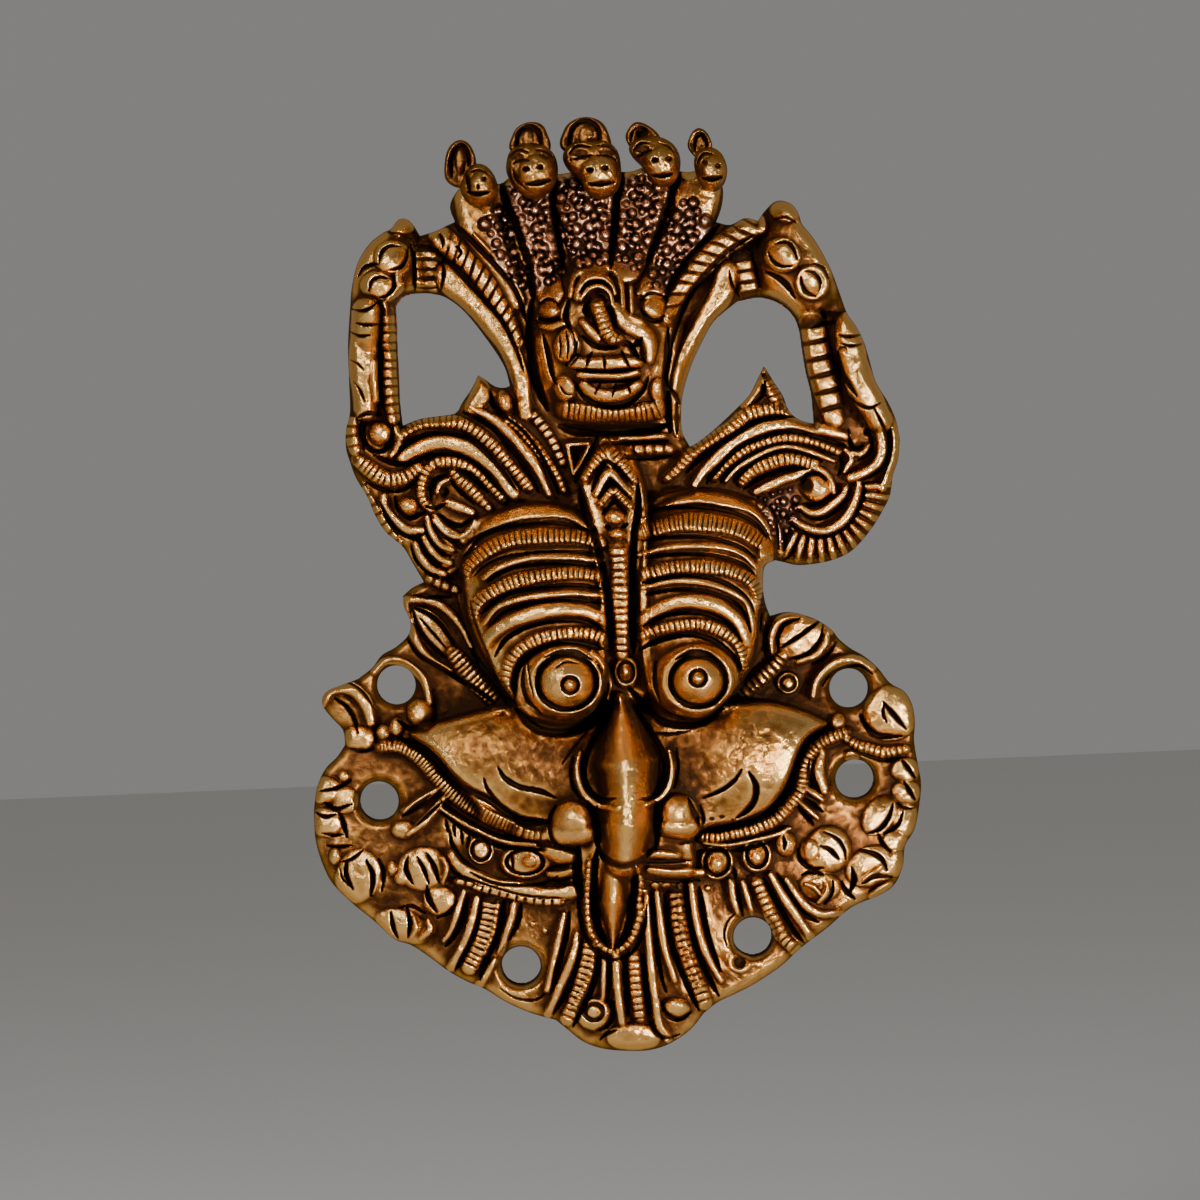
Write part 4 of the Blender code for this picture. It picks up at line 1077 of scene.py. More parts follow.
class Relief:
    """The front as depths on a fine grid over the sheet: broad forms, with the carving laid on them."""

    def __init__(self):
        self.xs = np.arange(GRID_LOW[0], GRID_HIGH[0], GRID)
        self.ys = np.arange(GRID_LOW[1], GRID_HIGH[1], GRID)
        self.x, self.y = np.meshgrid(self.xs, self.ys)
        self.shape = self.x.shape
        self.raised = np.zeros(self.shape)
        self.cut = np.zeros(self.shape)
        self.added = np.zeros(self.shape)
        # Darkening of grooves, ticks, pits and punches: patina and painted shade in them
        self.dirt_and_shade = np.zeros(self.shape)
        self.copper = np.zeros(self.shape)
        self.stain = np.zeros(self.shape)

    def window(self, points, reach):
        """The part of the grid within a reach of the points."""
        low = np.floor((np.min(points, axis=0) - reach - GRID_LOW) / GRID).astype(int)
        high = np.ceil((np.max(points, axis=0) + reach - GRID_LOW) / GRID).astype(int) + 1
        low = np.maximum(low, 0)
        return slice(low[1], max(high[1], 0)), slice(low[0], max(high[0], 0))

    def places(self, part=(slice(None), slice(None))):
        return np.column_stack([self.x[part].ravel(), self.y[part].ravel()])

    def everywhere(self, function, *values):
        return function(*values, self.places()).reshape(self.shape)

    def inside(self, loop):
        """Whether each grid point is inside a loop."""
        inside = np.zeros(self.shape, dtype=bool)
        for (x1, y1), (x2, y2) in zip(loop, np.roll(loop, -1, axis=0)):
            rows = (y1 > self.ys) != (y2 > self.ys)
            if rows.any():
                meets_at = x1 + (self.ys[rows] - y1) * (x2 - x1) / (y2 - y1)
                inside[rows] ^= self.xs[None, :] < meets_at[:, None]
        return inside

    def distance(self, loops, limit):
        """Distance of each grid point to the loops, up to a limit."""
        field = np.full(self.shape, float(limit))
        for loop in loops:
            for start, end in zip(loop, np.roll(loop, -1, axis=0)):
                part = self.window([start, end], limit)
                x, y = self.x[part], self.y[part]
                step = end - start
                share = ((x - start[0]) * step[0] + (y - start[1]) * step[1]) / (step @ step)
                share = np.clip(share, 0, 1)
                away = np.hypot(x - start[0] - share * step[0], y - start[1] - share * step[1])
                field[part] = np.minimum(field[part], away)
        return field

    def highest(self, field, part, values):
        spot = field[part]
        field[part] = np.maximum(spot, values.reshape(spot.shape))

    def carve(self, items):
        """Lays the carved items on: rolls and domes stand up, grooves cut in, rings and bumps add to both."""
        for item in items:
            if isinstance(item, Roll):
                part = self.window(item.points, max(item.widths) / 2 + 2)
                heights, dirt_and_shade = roll_height(item, self.places(part))
                self.highest(self.raised, part, heights)
                self.highest(self.dirt_and_shade, part, dirt_and_shade)
            elif isinstance(item, Groove):
                part = self.window(item.points, item.width / 2 + 2)
                depths = groove_depth(item, self.places(part))
                self.highest(self.cut, part, depths)
                # Grooves are darkened along their depth: patina and painted shade
                self.highest(self.dirt_and_shade, part, GROOVE_DIRT_AND_SHADE * depths / item.depth)
            elif isinstance(item, Dome):
                part = self.window([item.centre], max(item.radii) + 1)
                self.highest(self.raised, part, item.rise * dome_height(item, self.places(part)))
            elif isinstance(item, Bump):
                part = self.window([item.centre], max(item.radii) + 1)
                height = dome_height(item, self.places(part)).reshape(self.added[part].shape)
                self.added[part] += item.rise * height
                if item.rise < 0:
                    self.highest(self.dirt_and_shade, part, GROOVE_DIRT_AND_SHADE * height)
            elif isinstance(item, Ring):
                part = self.window([item.centre], max(item.radii) + item.width)
                height = ring_height(item, self.places(part)).reshape(self.added[part].shape)
                self.added[part] += height
                if item.rise < 0:
                    self.highest(self.dirt_and_shade, part, GROOVE_DIRT_AND_SHADE * height / item.rise)
            elif isinstance(item, Stain):
                part = self.window([item.centre], max(item.radii) + 1)
                spread = 1 - ellipse_reach(item, self.places(part)) ** 2
                self.stain[part] += item.amount * np.clip(spread, 0, 1).reshape(self.stain[part].shape)
            else:
                self.punch(item)

    def punch(self, punches):
        """Ring punches in staggered rows all over an area."""
        area = np.array(punches.area, dtype=float)
        low, high = area.min(axis=0), area.max(axis=0)
        row_height = punches.pitch * PUNCH_ROW_HEIGHT
        inside = self.inside(area)
        self.copper = np.maximum(self.copper, inside)
        kept_dirt_and_shade = np.maximum(self.dirt_and_shade, PUNCHED_DIRT_AND_SHADE * inside)
        for row in range(int((high[1] - low[1]) / row_height) + 1):
            for column in range(int((high[0] - low[0]) / punches.pitch) + 2):
                uneven = np.array([math.sin(row * 7 + column * 3), math.cos(row * 5 + column)])
                jitter = PUNCH_JITTER * punches.pitch * uneven
                across = column * punches.pitch - punches.pitch / 2 * (row % 2)
                centre = low + (across, row * row_height) + jitter
                if not is_inside([area], centre[None, :])[0]:
                    continue
                radius = punches.radius * (PUNCH_MEAN + PUNCH_SPREAD * math.sin(row * 3 + column * 5))
                ball = radius * PUNCH_BALL
                self.carve([
                    Ring(centre, (radius, radius), radius * PUNCH_RING, -punches.depth),
                    Bump(centre, (ball, ball), punches.depth * PUNCH_BALL_RISE),
                ])
        self.dirt_and_shade = np.maximum(kept_dirt_and_shade, np.minimum(self.dirt_and_shade, PUNCHED_MOST_DIRT_AND_SHADE))


def placed(sheet, depth):
    """Positions in metres, from the mount, of sheet points that stand a depth in millimetres off the wall."""
    def from_middle(points, off_wall):
        nearness = 1 - off_wall / VIEW_DISTANCE
        across = (points[:, 0] - SHEET / 2) * UNIT * nearness
        upward = (SHEET / 2 - points[:, 1]) * UNIT * nearness
        x = across * math.cos(LEAN) + upward * math.sin(LEAN)
        z = upward * math.cos(LEAN) - across * math.sin(LEAN)
        return np.column_stack([x, -off_wall, z])

    mount = from_middle(np.array([MOUNT_AT], dtype=float), np.zeros(1))[0]
    return from_middle(np.asarray(sheet, dtype=float), np.asarray(depth) * MILLIMETRE) - mount


def spine_depth(where, line, half_widths, depths):
    """Depth of a rounded spine whose width and depth change along its line."""
    distance, way, _ = nearest_on(smooth_curve(line, CURVE_STEP), where)
    along = way / max(way.max(), 1e-6)
    stops = np.linspace(0, 1, len(half_widths))
    reach = distance / np.interp(along, stops, half_widths)
    return np.interp(along, stops, depths) * np.sqrt(np.clip(1 - reach**2, 0, None))


def form_depth(relief, form):
    return form.top * relief.everywhere(dome_height, form)


def broad_front(relief, terraces):
    """Depth of the broad forms, without the carving on them."""
    depth = blended([np.full(relief.shape, PLATE)] + [form_depth(relief, form) for form in LOW_FORMS])
    for terrace in terraces:
        edge = smooth_curve(terrace.edge, BORDER_STEP, closed=True)[:-1]
        inset = relief.distance([edge], CLIFF + 2) * relief.inside(edge)
        share = np.clip(inset / CLIFF, 0, 1)
        share = share * share * (3 - 2 * share)
        raised = blended([depth] + [form_depth(relief, form) for form in terrace.forms])
        depth = depth + (raised - depth) * share
    return depth


def nose_and_tongue(relief, depth):
    """Lays the nose and the tongue over the rest."""
    for line, half_widths, depths in (
        (NOSE_RIDGE, NOSE_HALF_WIDTHS, NOSE_DEPTHS),
        (TONGUE_LINE, TONGUE_HALF_WIDTHS, TONGUE_DEPTHS),
    ):
        part = relief.window(line, max(half_widths) + 2)
        spine = spine_depth(relief.places(part), line, half_widths, depths)
        spot = depth[part]
        depth[part] = blended([spot, spine.reshape(spot.shape)])
    return depth


def sampled(relief, field, sheet):
    """Values of a grid field at any sheet points, between the nearest grid points."""
    column = np.clip((sheet[:, 0] - GRID_LOW[0]) / GRID, 0, relief.shape[1] - LAST_CELL)
    row = np.clip((sheet[:, 1] - GRID_LOW[1]) / GRID, 0, relief.shape[0] - LAST_CELL)
    left, top = column.astype(int), row.astype(int)
    right_share, low_share = column - left, row - top
    upper = field[top, left] * (1 - right_share) + field[top, left + 1] * right_share
    lower = field[top + 1, left] * (1 - right_share) + field[top + 1, left + 1] * right_share
    return upper * (1 - low_share) + lower * low_share


def cast_surface(shape):
    """Low unevenness of a cast surface, in millimetres."""
    specks = np.random.default_rng(CAST_SEED).standard_normal(shape)
    field = np.zeros(shape)
    for radius in CAST_RADII:
        layer = blurred(specks, radius)
        field += layer / layer.std() * CAST_ROUGHNESS
    return field


def wear_of(depth, rule):
    """Wear and painted shade from relief of one size: what stands proud is rubbed pale, what lies low is
    darkened as patina and as painted shade.
    """
    radius, per_millimetre, least, most = rule
    return np.clip(per_millimetre * (depth - blurred(depth, radius)), least, most)


def build_relief():
    """Works out every field of the relief: front and back depth, wear with painted shade in the recesses, and
    copper tint.
    """
    relief = Relief()
    outline = loop_of_runs(OUTLINE)
    gaps = [loop_of_runs(LEFT_GAP), loop_of_runs(RIGHT_GAP)]
    hole_radius = HOLE_RADIUS / UNIT
    holes = [ellipse(centre, (hole_radius, hole_radius), HOLE_SIDES) for centre in HOLES]
    borders = [outline] + gaps + holes
    material = relief.inside(outline)
    for loop in gaps + holes:
        material &= ~relief.inside(loop)
    distance = relief.distance(borders, BORDER_REACH)
    relief.signed = np.where(material, distance, -distance)

    broad = broad_front(relief, (FACE, LEFT_BROW, RIGHT_BROW, BRIDGE))
    for items in (HOOD, ARMS, SMALL_FACE, FOREHEAD, BROWS, CHEEKS, MOUTH, BEARD, LEFT_WING, RIGHT_WING,
                  FEATHERS, SIDES):
        relief.carve(items)
    front = nose_and_tongue(relief, broad + relief.raised + relief.added - relief.cut)
    relief.cut[:] = 0
    relief.carve(NOSE_MARKS)
    relief.carve(STAINS)
    front = front - relief.cut + cast_surface(relief.shape)
    edge = np.clip(relief.signed / EDGE_ROUND, 0, 1)
    rounding = EDGE_SHARE + (1 - EDGE_SHARE) * np.sqrt(1 - (1 - edge) ** 2)
    unrounded = np.maximum(front, LOWEST_FRONT)
    relief.front = unrounded * rounding

    smooth = broad_front(relief, (FACE, LEFT_BROW, RIGHT_BROW))
    wall_steps = round(WALL / UNIT / GRID)
    hollow_edge = smooth_curve(HOLLOW, BORDER_STEP, closed=True)[:-1]
    inset = relief.distance([hollow_edge], BORDER_REACH) * relief.inside(hollow_edge)
    room = np.minimum(inset, relief.signed - RIM / UNIT) / UNITS_PER_MM
    hollow = np.minimum(lowest_near(smooth, wall_steps) - WALL / MILLIMETRE, room * HOLLOW_DRAFT)
    relief.back = blurred(np.clip(hollow, 0, None), BACK_SOFTNESS)

    open_front = np.where(material, relief.front, 0)
    # Raised relief is rubbed pale; low relief is darkened as patina and as painted shade in the recesses;
    # stains, and the dirt and painted shade of grooves, ticks, pits and punches, are taken off
    worn_and_shaded = BASE_WEAR + wear_of(relief.front, FINE_WEAR_AND_SHADE) + wear_of(unrounded, MEDIUM_WEAR_AND_SHADE)
    worn_and_shaded += wear_of(open_front, WIDE_WEAR_AND_SHADE)
    relief.wear = np.clip(np.minimum(worn_and_shaded - relief.stain, MOST_WORN) - relief.dirt_and_shade, 0, 1)
    return relief


class Tile:
    """One closed body of the relief: carved front, hollow back, and the walls between them."""

    def __init__(self, relief, cells):
        rows, columns = np.nonzero(cells)
        width = relief.shape[1]
        corner = rows * width + columns
        quads = np.column_stack([corner, corner + width, corner + width + 1, corner + 1])
        used, packed = np.unique(quads, return_inverse=True)
        self.used = used
        self.quads = packed.reshape(quads.shape)

    def border(self):
        """The directed edges that only one face of the front uses."""
        starts = self.quads.ravel()
        ends = np.roll(self.quads, -1, axis=1).ravel()
        size = len(self.used)
        missing = ~np.isin(ends * size + starts, starts * size + ends)
        return starts[missing], ends[missing]


def border_loops(starts, ends):
    """Closed loops of point numbers from directed edges."""
    following = defaultdict(list)
    for start, end in zip(starts, ends):
        following[int(start)].append(int(end))
    loops = []
    while following:
        first = next(iter(following))
        loop = [first]
        while True:
            ahead = following[loop[-1]].pop()
            if not following[loop[-1]]:
                del following[loop[-1]]
            if ahead == first:
                break
            loop.append(ahead)
        loops.append(loop)
    return loops


def fill_points(low, high, step):
    """A staggered grid of points between two corners."""
    points = []
    row_height = step * math.sqrt(3) / 2
    for row in range(int((high[1] - low[1]) / row_height) + 1):
        shift = step / 2 * (row % 2)
        for column in range(int((high[0] - low[0]) / step) + 1):
            points.append((low[0] + column * step + shift, low[1] + row * row_height))
    return np.array(points)


def back_of_tile(relief, sheet, loops, outer):
    """Triangles of the back inside the loops of the tile's border, in sheet units."""
    order = [number for loop in loops for number in loop]
    border = sheet[order].copy()
    off_wall = sampled(relief, relief.front, border) * MILLIMETRE
    nearness = 1 - off_wall / VIEW_DISTANCE
    on_edge = outer[order]
    border[on_edge] = SHEET / 2 + (border[on_edge] - SHEET / 2) * nearness[on_edge, None]
    edges = []
    start = 0
    rings = []
    for loop in loops:
        count = len(loop)
        edges += [(start + i, start + (i + 1) % count) for i in range(count)]
        rings.append(border[start:start + count])
        start += count
    fill = fill_points(border.min(axis=0), border.max(axis=0), BACK_STEP)
    fill = fill[is_inside(rings, fill)]
    distance = sampled(relief, np.abs(relief.signed), fill)
    fill = fill[distance > BACK_STEP / 2]
    flat = [Vector(point) for point in np.vstack([border, fill])]
    verts, _, faces, origins, *_ = delaunay_2d_cdt(flat, edges, [], 0, SAME_POINT)
    verts = np.array([tuple(vert) for vert in verts])
    faces = np.array(faces)
    kept = is_inside(rings, verts[faces].mean(axis=1))
    behind = {}
    on_border = np.zeros(len(verts), dtype=bool)
    for number, sources in enumerate(origins):
        for source in sources:
            if source < len(order):
                behind[order[source]] = number
                on_border[number] |= outer[order[source]]
    depth = sampled(relief, relief.back, verts)
    depth[on_border] = 0
    return verts, depth, faces[kept], behind


def tile_object(relief, name, cells, moved, outer_points):
    """Makes the closed body of one tile of the grid."""
    tile = Tile(relief, cells)
    sheet = moved[tile.used]
    outer = outer_points[tile.used]
    starts, ends = tile.border()
    loops = border_loops(starts, ends)
    back_sheet, back_depth, back_faces, behind = back_of_tile(relief, sheet, loops, outer)
    front = placed(sheet, sampled(relief, relief.front, sheet))
    back = placed(back_sheet, back_depth)
    shift = len(front)
    walls = []
    for start, end in zip(starts.tolist(), ends.tolist()):
        walls.append((end, start, shift + behind[start], shift + behind[end]))
    quads = np.vstack([tile.quads, np.array(walls)])
    triangles = back_faces[:, ::-1] + shift
    verts = np.vstack([front, back])
    piece = mesh_object(name, verts, quads, triangles)
    wear = np.concatenate([sampled(relief, relief.wear, sheet), np.full(len(back), BACK_WEAR)])
    copper = np.concatenate([sampled(relief, relief.copper, sheet), np.zeros(len(back))])
    add_values(piece, wear, copper)
    sharp_border(piece, starts, ends)
    return piece


def mesh_object(name, verts, quads, triangles):
    """A smooth-shaded mesh object from arrays of quads and triangles."""
    mesh = bpy.data.meshes.new(name)
    mesh.vertices.add(len(verts))
    mesh.vertices.foreach_set("co", np.asarray(verts, dtype=np.float32).ravel())
    corners = np.concatenate([quads.ravel(), triangles.ravel()]).astype(np.int32)
    sizes = np.concatenate([np.full(len(quads), 4), np.full(len(triangles), 3)]).astype(np.int32)
    starts = np.concatenate([[0], np.cumsum(sizes)[:-1]]).astype(np.int32)
    mesh.loops.add(len(corners))
    mesh.loops.foreach_set("vertex_index", corners)
    mesh.polygons.add(len(sizes))
    mesh.polygons.foreach_set("loop_start", starts)
    mesh.polygons.foreach_set("loop_total", sizes)
    mesh.polygons.foreach_set("use_smooth", np.ones(len(sizes), dtype=bool))
    mesh.update(calc_edges=True)
    piece = bpy.data.objects.new(name, mesh)
    bpy.context.scene.collection.objects.link(piece)
    return piece


def add_values(piece, wear, copper):
    """Stores the wear with its painted shade and the copper tint of each vertex for the material."""
    for name, values in (("wear", wear), ("copper", copper)):
        attribute = piece.data.attributes.new(name, "FLOAT", "POINT")
        attribute.data.foreach_set("value", np.asarray(values, dtype=np.float32))


def sharp_border(piece, starts, ends):
    """Keeps the shading of the front apart from that of the walls."""
    mesh = piece.data
    pairs = np.zeros(len(mesh.edges) * 2, dtype=np.int32)
    mesh.edges.foreach_get("vertices", pairs)
    pairs = np.sort(pairs.reshape(-1, 2), axis=1).astype(np.int64)
    size = len(mesh.vertices)
    border = np.sort(np.column_stack([starts, ends]), axis=1).astype(np.int64)
    sharp = np.isin(pairs[:, 0] * size + pairs[:, 1], border[:, 0] * size + border[:, 1])
    attribute = mesh.attributes.new("sharp_edge", "BOOLEAN", "EDGE")
    attribute.data.foreach_set("value", sharp)


# The relief is split into these parts along its valleys; the beard plate is the rest
REGIONS = {
    "small_face": points_of("""
        532,262 600,255 676,282 682,330 672,432 575,432 528,400 530,330
    """),
    "hood": points_of("""
        428,100 740,100 762,240 700,330 690,460 676,480 640,500 585,500 560,500 530,420 500,350 420,295
        440,235
    """),
    "left_wing": points_of("""
        300,200 428,200 440,295 528,380 535,440 565,500 505,506 462,535 461,590 420,586 300,586
    """),
    "right_wing": points_of("""
        762,190 950,190 950,590 763,590 777,545 772,520 740,495 690,490 650,505 676,460 690,350 745,300
    """),
    "brows": points_of("""
        585,480 640,480 690,488 740,493 774,518 779,560 765,605 758,655 736,697 700,724 662,716 625,705
        600,706 575,729 532,724 503,697 472,642 459,590 460,535 503,504 552,500
    """),
    "face": points_of("""
        400,733 450,712 503,697 532,724 575,729 600,706 625,705 662,716 700,724 736,697 775,698 835,720
        810,745 790,795 760,828 700,842 693,884 660,890 625,965 603,965 570,895 500,888 448,850 465,815
        430,765
    """),
}


def split_relief(relief):
    """Cuts the grid into tiles and makes a body from each."""
    keep = relief.signed > -EDGE_CELLS * GRID
    cells = keep[:-1, :-1] & keep[1:, :-1] & keep[:-1, 1:] & keep[1:, 1:]
    around = np.pad(cells, 1)
    touching = [around[:-1, :-1], around[1:, :-1], around[:-1, 1:], around[1:, 1:]]
    used = touching[0] | touching[1] | touching[2] | touching[3]
    outer = used & ~(touching[0] & touching[1] & touching[2] & touching[3])
    slope_down, slope_across = np.gradient(relief.signed, GRID)
    moved = np.stack([relief.x, relief.y], axis=2)
    moved[outer, 0] -= (relief.signed * slope_across)[outer]
    moved[outer, 1] -= (relief.signed * slope_down)[outer]
    moved = moved.reshape(-1, 2)
    outer = outer.ravel()

    middles = np.column_stack([
        (relief.x[:-1, :-1] + GRID / 2).ravel(), (relief.y[:-1, :-1] + GRID / 2).ravel(),
    ])
    left = cells.copy()
    pieces = []
    for name, area in REGIONS.items():
        chosen = left & is_inside([np.array(area, dtype=float)], middles).reshape(cells.shape)
        left &= ~chosen
        pieces.append(tile_object(relief, name, chosen, moved, outer))
    pieces.append(tile_object(relief, "beard_plate", left, moved, outer))
    return pieces


relief = build_relief()
pieces = split_relief(relief)


# The snake heads: outline and middle of the skull, what is carved on it, and the hoop behind it
Head = namedtuple("Head", "name outline muzzle marks hoop hoop_marks")
HEADS = [
    Head(
        "snake_head_1",
        points_of("466,172 474,164 486,166 495,177 498,192 491,203 478,205 466,199 460,187"),
        Dome((483, 187), (14, 16), 3.6),
        carvings("""
groove 2.4|5|466,172 469,184 470,194
bump -1.8|3 3|484,179
bump -1.2|2 3|478,187
groove 3|7|468,192 477,194 489,192
groove 1.2|3|470,172 480,170 490,176
"""),
        points_of("446,180 445,160 450,146 460,140 470,145 476,160 474,178 461,188"),
        carvings("""
groove 3.2|6|452,176 451,160 455,149 461,145 467,151 469,166
dome 2.4|5 13|460,162
"""),
    ),
    Head(
        "snake_head_2",
        points_of("""
            506,168 509,153 519,145 532,143 545,146 555,156 558,172 553,187 542,196 528,196 516,188
            509,178
        """),
        Dome((537, 174), (19, 19), 3.6),
        carvings("""
bump -2|4 3|526,169
bump -2|4 3|540,167
groove 3|7|526,184 538,183 551,180
groove 1.8|4|508,158 517,150 528,152
groove 1.8|4|536,150 546,151 554,158
groove 1.4|3|512,164 522,160 530,161
bump -1.2|7 4|517,157
bump -1.2|7 4|546,156
groove 1.6|4|513,170 517,180 526,189
"""),
        points_of("510,150 513,134 519,126 530,122 541,124 547,133 550,150 530,162"),
        carvings("""
groove 3.2|6|517,150 518,135 524,128 532,127 539,134 541,150
dome 2.4|6 11|528,141
"""),
    ),
    Head(
        "snake_head_3",
        points_of("""
            563,160 565,149 574,142 590,140 606,141 617,150 621,166 620,184 611,195 597,197 586,190
            580,178 570,170
        """),
        Dome((600, 176), (21, 20), 4),
        carvings("""
bump -2.2|4 3|590,170
bump -2.2|4 3|605,168
groove 3.2|7|588,184 600,184 614,182
groove 2|4|569,154 577,146 590,147
groove 2|4|570,160 592,155
bump -1.4|9 4|579,153
groove 2|4|597,146 609,146 617,154
groove 1.8|4|598,155 609,156 617,161
bump -1.4|9 4|608,152
"""),
        points_of("561,148 564,130 572,121 586,117 600,121 608,132 610,150 586,162"),
        carvings("""
groove 3.2|6|570,148 571,132 578,123 588,121 597,128 600,144
dome 2.6|8 12|586,137
"""),
    ),
    Head(
        "snake_head_4",
        points_of("""
            629,150 634,141 646,136 660,137 673,144 680,157 679,173 670,184 657,184 648,174 640,162
        """),
        Dome((662, 166), (19, 19), 3.8),
        carvings("""
bump -2|4 3|655,160
bump -2|4 3|669,159
groove 3.2|7|652,175 662,176 673,174
groove 2|4|633,152 639,144 649,143
groove 1.8|4|636,157 652,150
bump -1.4|8 4|642,149
groove 1.4|3|660,143 669,147 675,154
"""),
        points_of("626,140 629,128 637,122 649,126 660,137 656,150 640,158"),
        carvings("""
bump -3.4|6 7|642,133
groove 1.4|3|631,142 633,131 640,127
"""),
    ),
    Head(
        "snake_head_5",
        points_of("694,160 699,150 710,147 721,153 727,167 725,181 715,189 703,186 696,174"),
        Dome((713, 172), (13, 16), 3.6),
        carvings("""
bump -1.8|3 3|705,163
bump -1.8|3 3|718,166
groove 3|7|702,178 712,179 722,177
groove 1.6|4|697,164 703,154 713,154
"""),
        points_of("688,148 691,134 699,128 708,134 712,148 701,160"),
        carvings("""
groove 3|5|695,150 696,138 701,134 706,141 707,150
"""),
    ),
]
# How finely a head and a hoop are made, how worn their fronts are, and from what depth they are fronts
HEAD_SIDES = 72
HEAD_STEPS = 48
HEAD_WEAR = 0.58
HEAD_FRONT_FROM = 22
HOOP_SIDES = 56
HOOP_STEPS = 40
HOOP_WEAR = 0.55
HOOP_FRONT_FROM = 17.5
FRONT_FADE = 4
# Wear off the fronts, wear and dirt with painted shade for each millimetre of carving, and how uneven the
# casting is
SIDE_WEAR = 0.30
CARVED_WEAR = 0.05
LUMP_WEAR = 0.3
PIT_DIRT_AND_SHADE = 0.24
HEAD_LUMPS = 0.35
HEAD_LUMP_LENGTH = 4
# Rings of a head from its front back to its neck: depth, share of its outline, drop
HEAD_RINGS = [
    (28.5, 0.02, 0), (28.4, 0.25, 0), (28.0, 0.5, 0), (26.8, 0.76, 0), (24.5, 0.93, 0), (20, 1.0, 0),
    (15, 0.96, 3), (9, 0.86, 6), (3, 0.7, 8),
]


def ring_body(rings, marks, name, wear_front, depth_from):
    """A closed body through rings of sheet points with depths, with marks carved into its front."""
    count = len(rings[0][0])
    sheet = np.vstack([ring for ring, _ in rings])
    depth = np.concatenate([values for _, values in rings])
    front = np.clip((depth - depth_from) / FRONT_FADE, 0, 1)
    carved = np.zeros(len(sheet))
    dirt_and_shade = np.zeros(len(sheet))
    for mark in marks:
        if isinstance(mark, Groove):
            carved -= groove_depth(mark, sheet)
            dirt_and_shade = np.maximum(dirt_and_shade, GROOVE_DIRT_AND_SHADE * groove_depth(mark, sheet) / mark.depth)
        elif isinstance(mark, (Dome, Bump)):
            height = dome_height(mark, sheet)
            carved += mark.rise * height
            if mark.rise < 0:
                dirt_and_shade = np.maximum(dirt_and_shade, -PIT_DIRT_AND_SHADE * mark.rise * height)
        else:
            carved += ring_height(mark, sheet)
    lumps = [noise.noise(Vector((x / HEAD_LUMP_LENGTH, y / HEAD_LUMP_LENGTH, 0))) for x, y in sheet]
    lumps = HEAD_LUMPS * np.array(lumps)
    depth = depth + (carved + lumps) * front
    # Sunk marks and pits are darkened on the front, as patina and as painted shade in them
    wear = wear_front * front + SIDE_WEAR * (1 - front)
    wear = wear + (carved * CARVED_WEAR + lumps * LUMP_WEAR) * front - dirt_and_shade * front
    wear = np.clip(wear, 0, 1)
    quads = []
    for ring in range(len(rings) - 1):
        base = ring * count
        numbers = np.arange(count)
        ahead = (numbers + 1) % count
        corners = [base + numbers, base + ahead, base + count + ahead, base + count + numbers]
        quads.append(np.column_stack(corners))
    quads = np.vstack(quads)
    tip = len(sheet)
    tail = tip + 1
    sheet = np.vstack([sheet, sheet[:count].mean(axis=0), sheet[-count:].mean(axis=0)])
    depth = np.append(depth, [depth[:count].mean(), depth[-count:].mean()])
    wear = np.append(wear, [wear[:count].mean(), wear[-count:].mean()])
    numbers = np.arange(count)
    ahead = (numbers + 1) % count
    last = (len(rings) - 1) * count
    caps = np.vstack([
        np.column_stack([np.full(count, tip), ahead, numbers]),
        np.column_stack([np.full(count, tail), last + numbers, last + ahead]),
    ])
    piece = mesh_object(name, placed(sheet, depth), quads, caps)
    add_values(piece, wear, np.zeros(len(sheet)))
    return piece


def snake_head(head):
    outline = resampled_loop(head.outline, HEAD_SIDES)
    middle = outline.mean(axis=0)
    rings = []
    for depth, share, drop in smooth_rows(HEAD_RINGS, HEAD_STEPS):
        ring = middle + (outline - middle) * share + (0, drop)
        rings.append((ring, np.full(len(ring), depth)))
    return ring_body(rings, [head.muzzle] + head.marks, head.name, HEAD_WEAR, HEAD_FRONT_FROM)


# Rings of a hoop from the middle of its front to the middle of its back: depth and share of its outline
HOOP_RINGS = [
    (19.6, 0.02), (19.6, 0.3), (19.8, 0.6), (20.2, 0.85), (19.4, 0.97), (18, 1.0), (16.4, 0.95),
    (15.6, 0.5), (15.4, 0.02),
]


def snake_hoop(head):
    outline = resampled_loop(head.hoop, HOOP_SIDES)
    middle = outline.mean(axis=0)
    rings = []
    for depth, share in smooth_rows(HOOP_RINGS, HOOP_STEPS):
        ring = middle + (outline - middle) * share
        rings.append((ring, np.full(len(ring), depth)))
    name = head.name.replace("head", "hoop")
    return ring_body(rings, head.hoop_marks, name, HOOP_WEAR, HOOP_FRONT_FROM)


def resampled_loop(points, count):
    """A closed smooth curve through the points, as that many places."""
    loop = smooth_curve(points, HEAD_CURVE_STEP, closed=True)
    return loop[np.linspace(0, len(loop) - 1, count, endpoint=False).astype(int)]


def smooth_rows(rows, count):
    """Rows of numbers eased to a finer table."""
    rows = np.array(rows, dtype=float)
    places = np.arange(len(rows))
    columns = [
        smooth_curve(np.column_stack([places, column]), TABLE_CURVE_STEP) for column in rows.T
    ]
    stops = np.linspace(0, len(rows) - 1, count)
    return np.column_stack([np.interp(stops, column[:, 0], column[:, 1]) for column in columns])


for head in HEADS:
    pieces.append(snake_head(head))
    pieces.append(snake_hoop(head))


# The brass
def new_node(tree, kind, **settings):
    node = tree.nodes.new(kind)
    for name, value in settings.items():
        setattr(node, name, value)
    return node


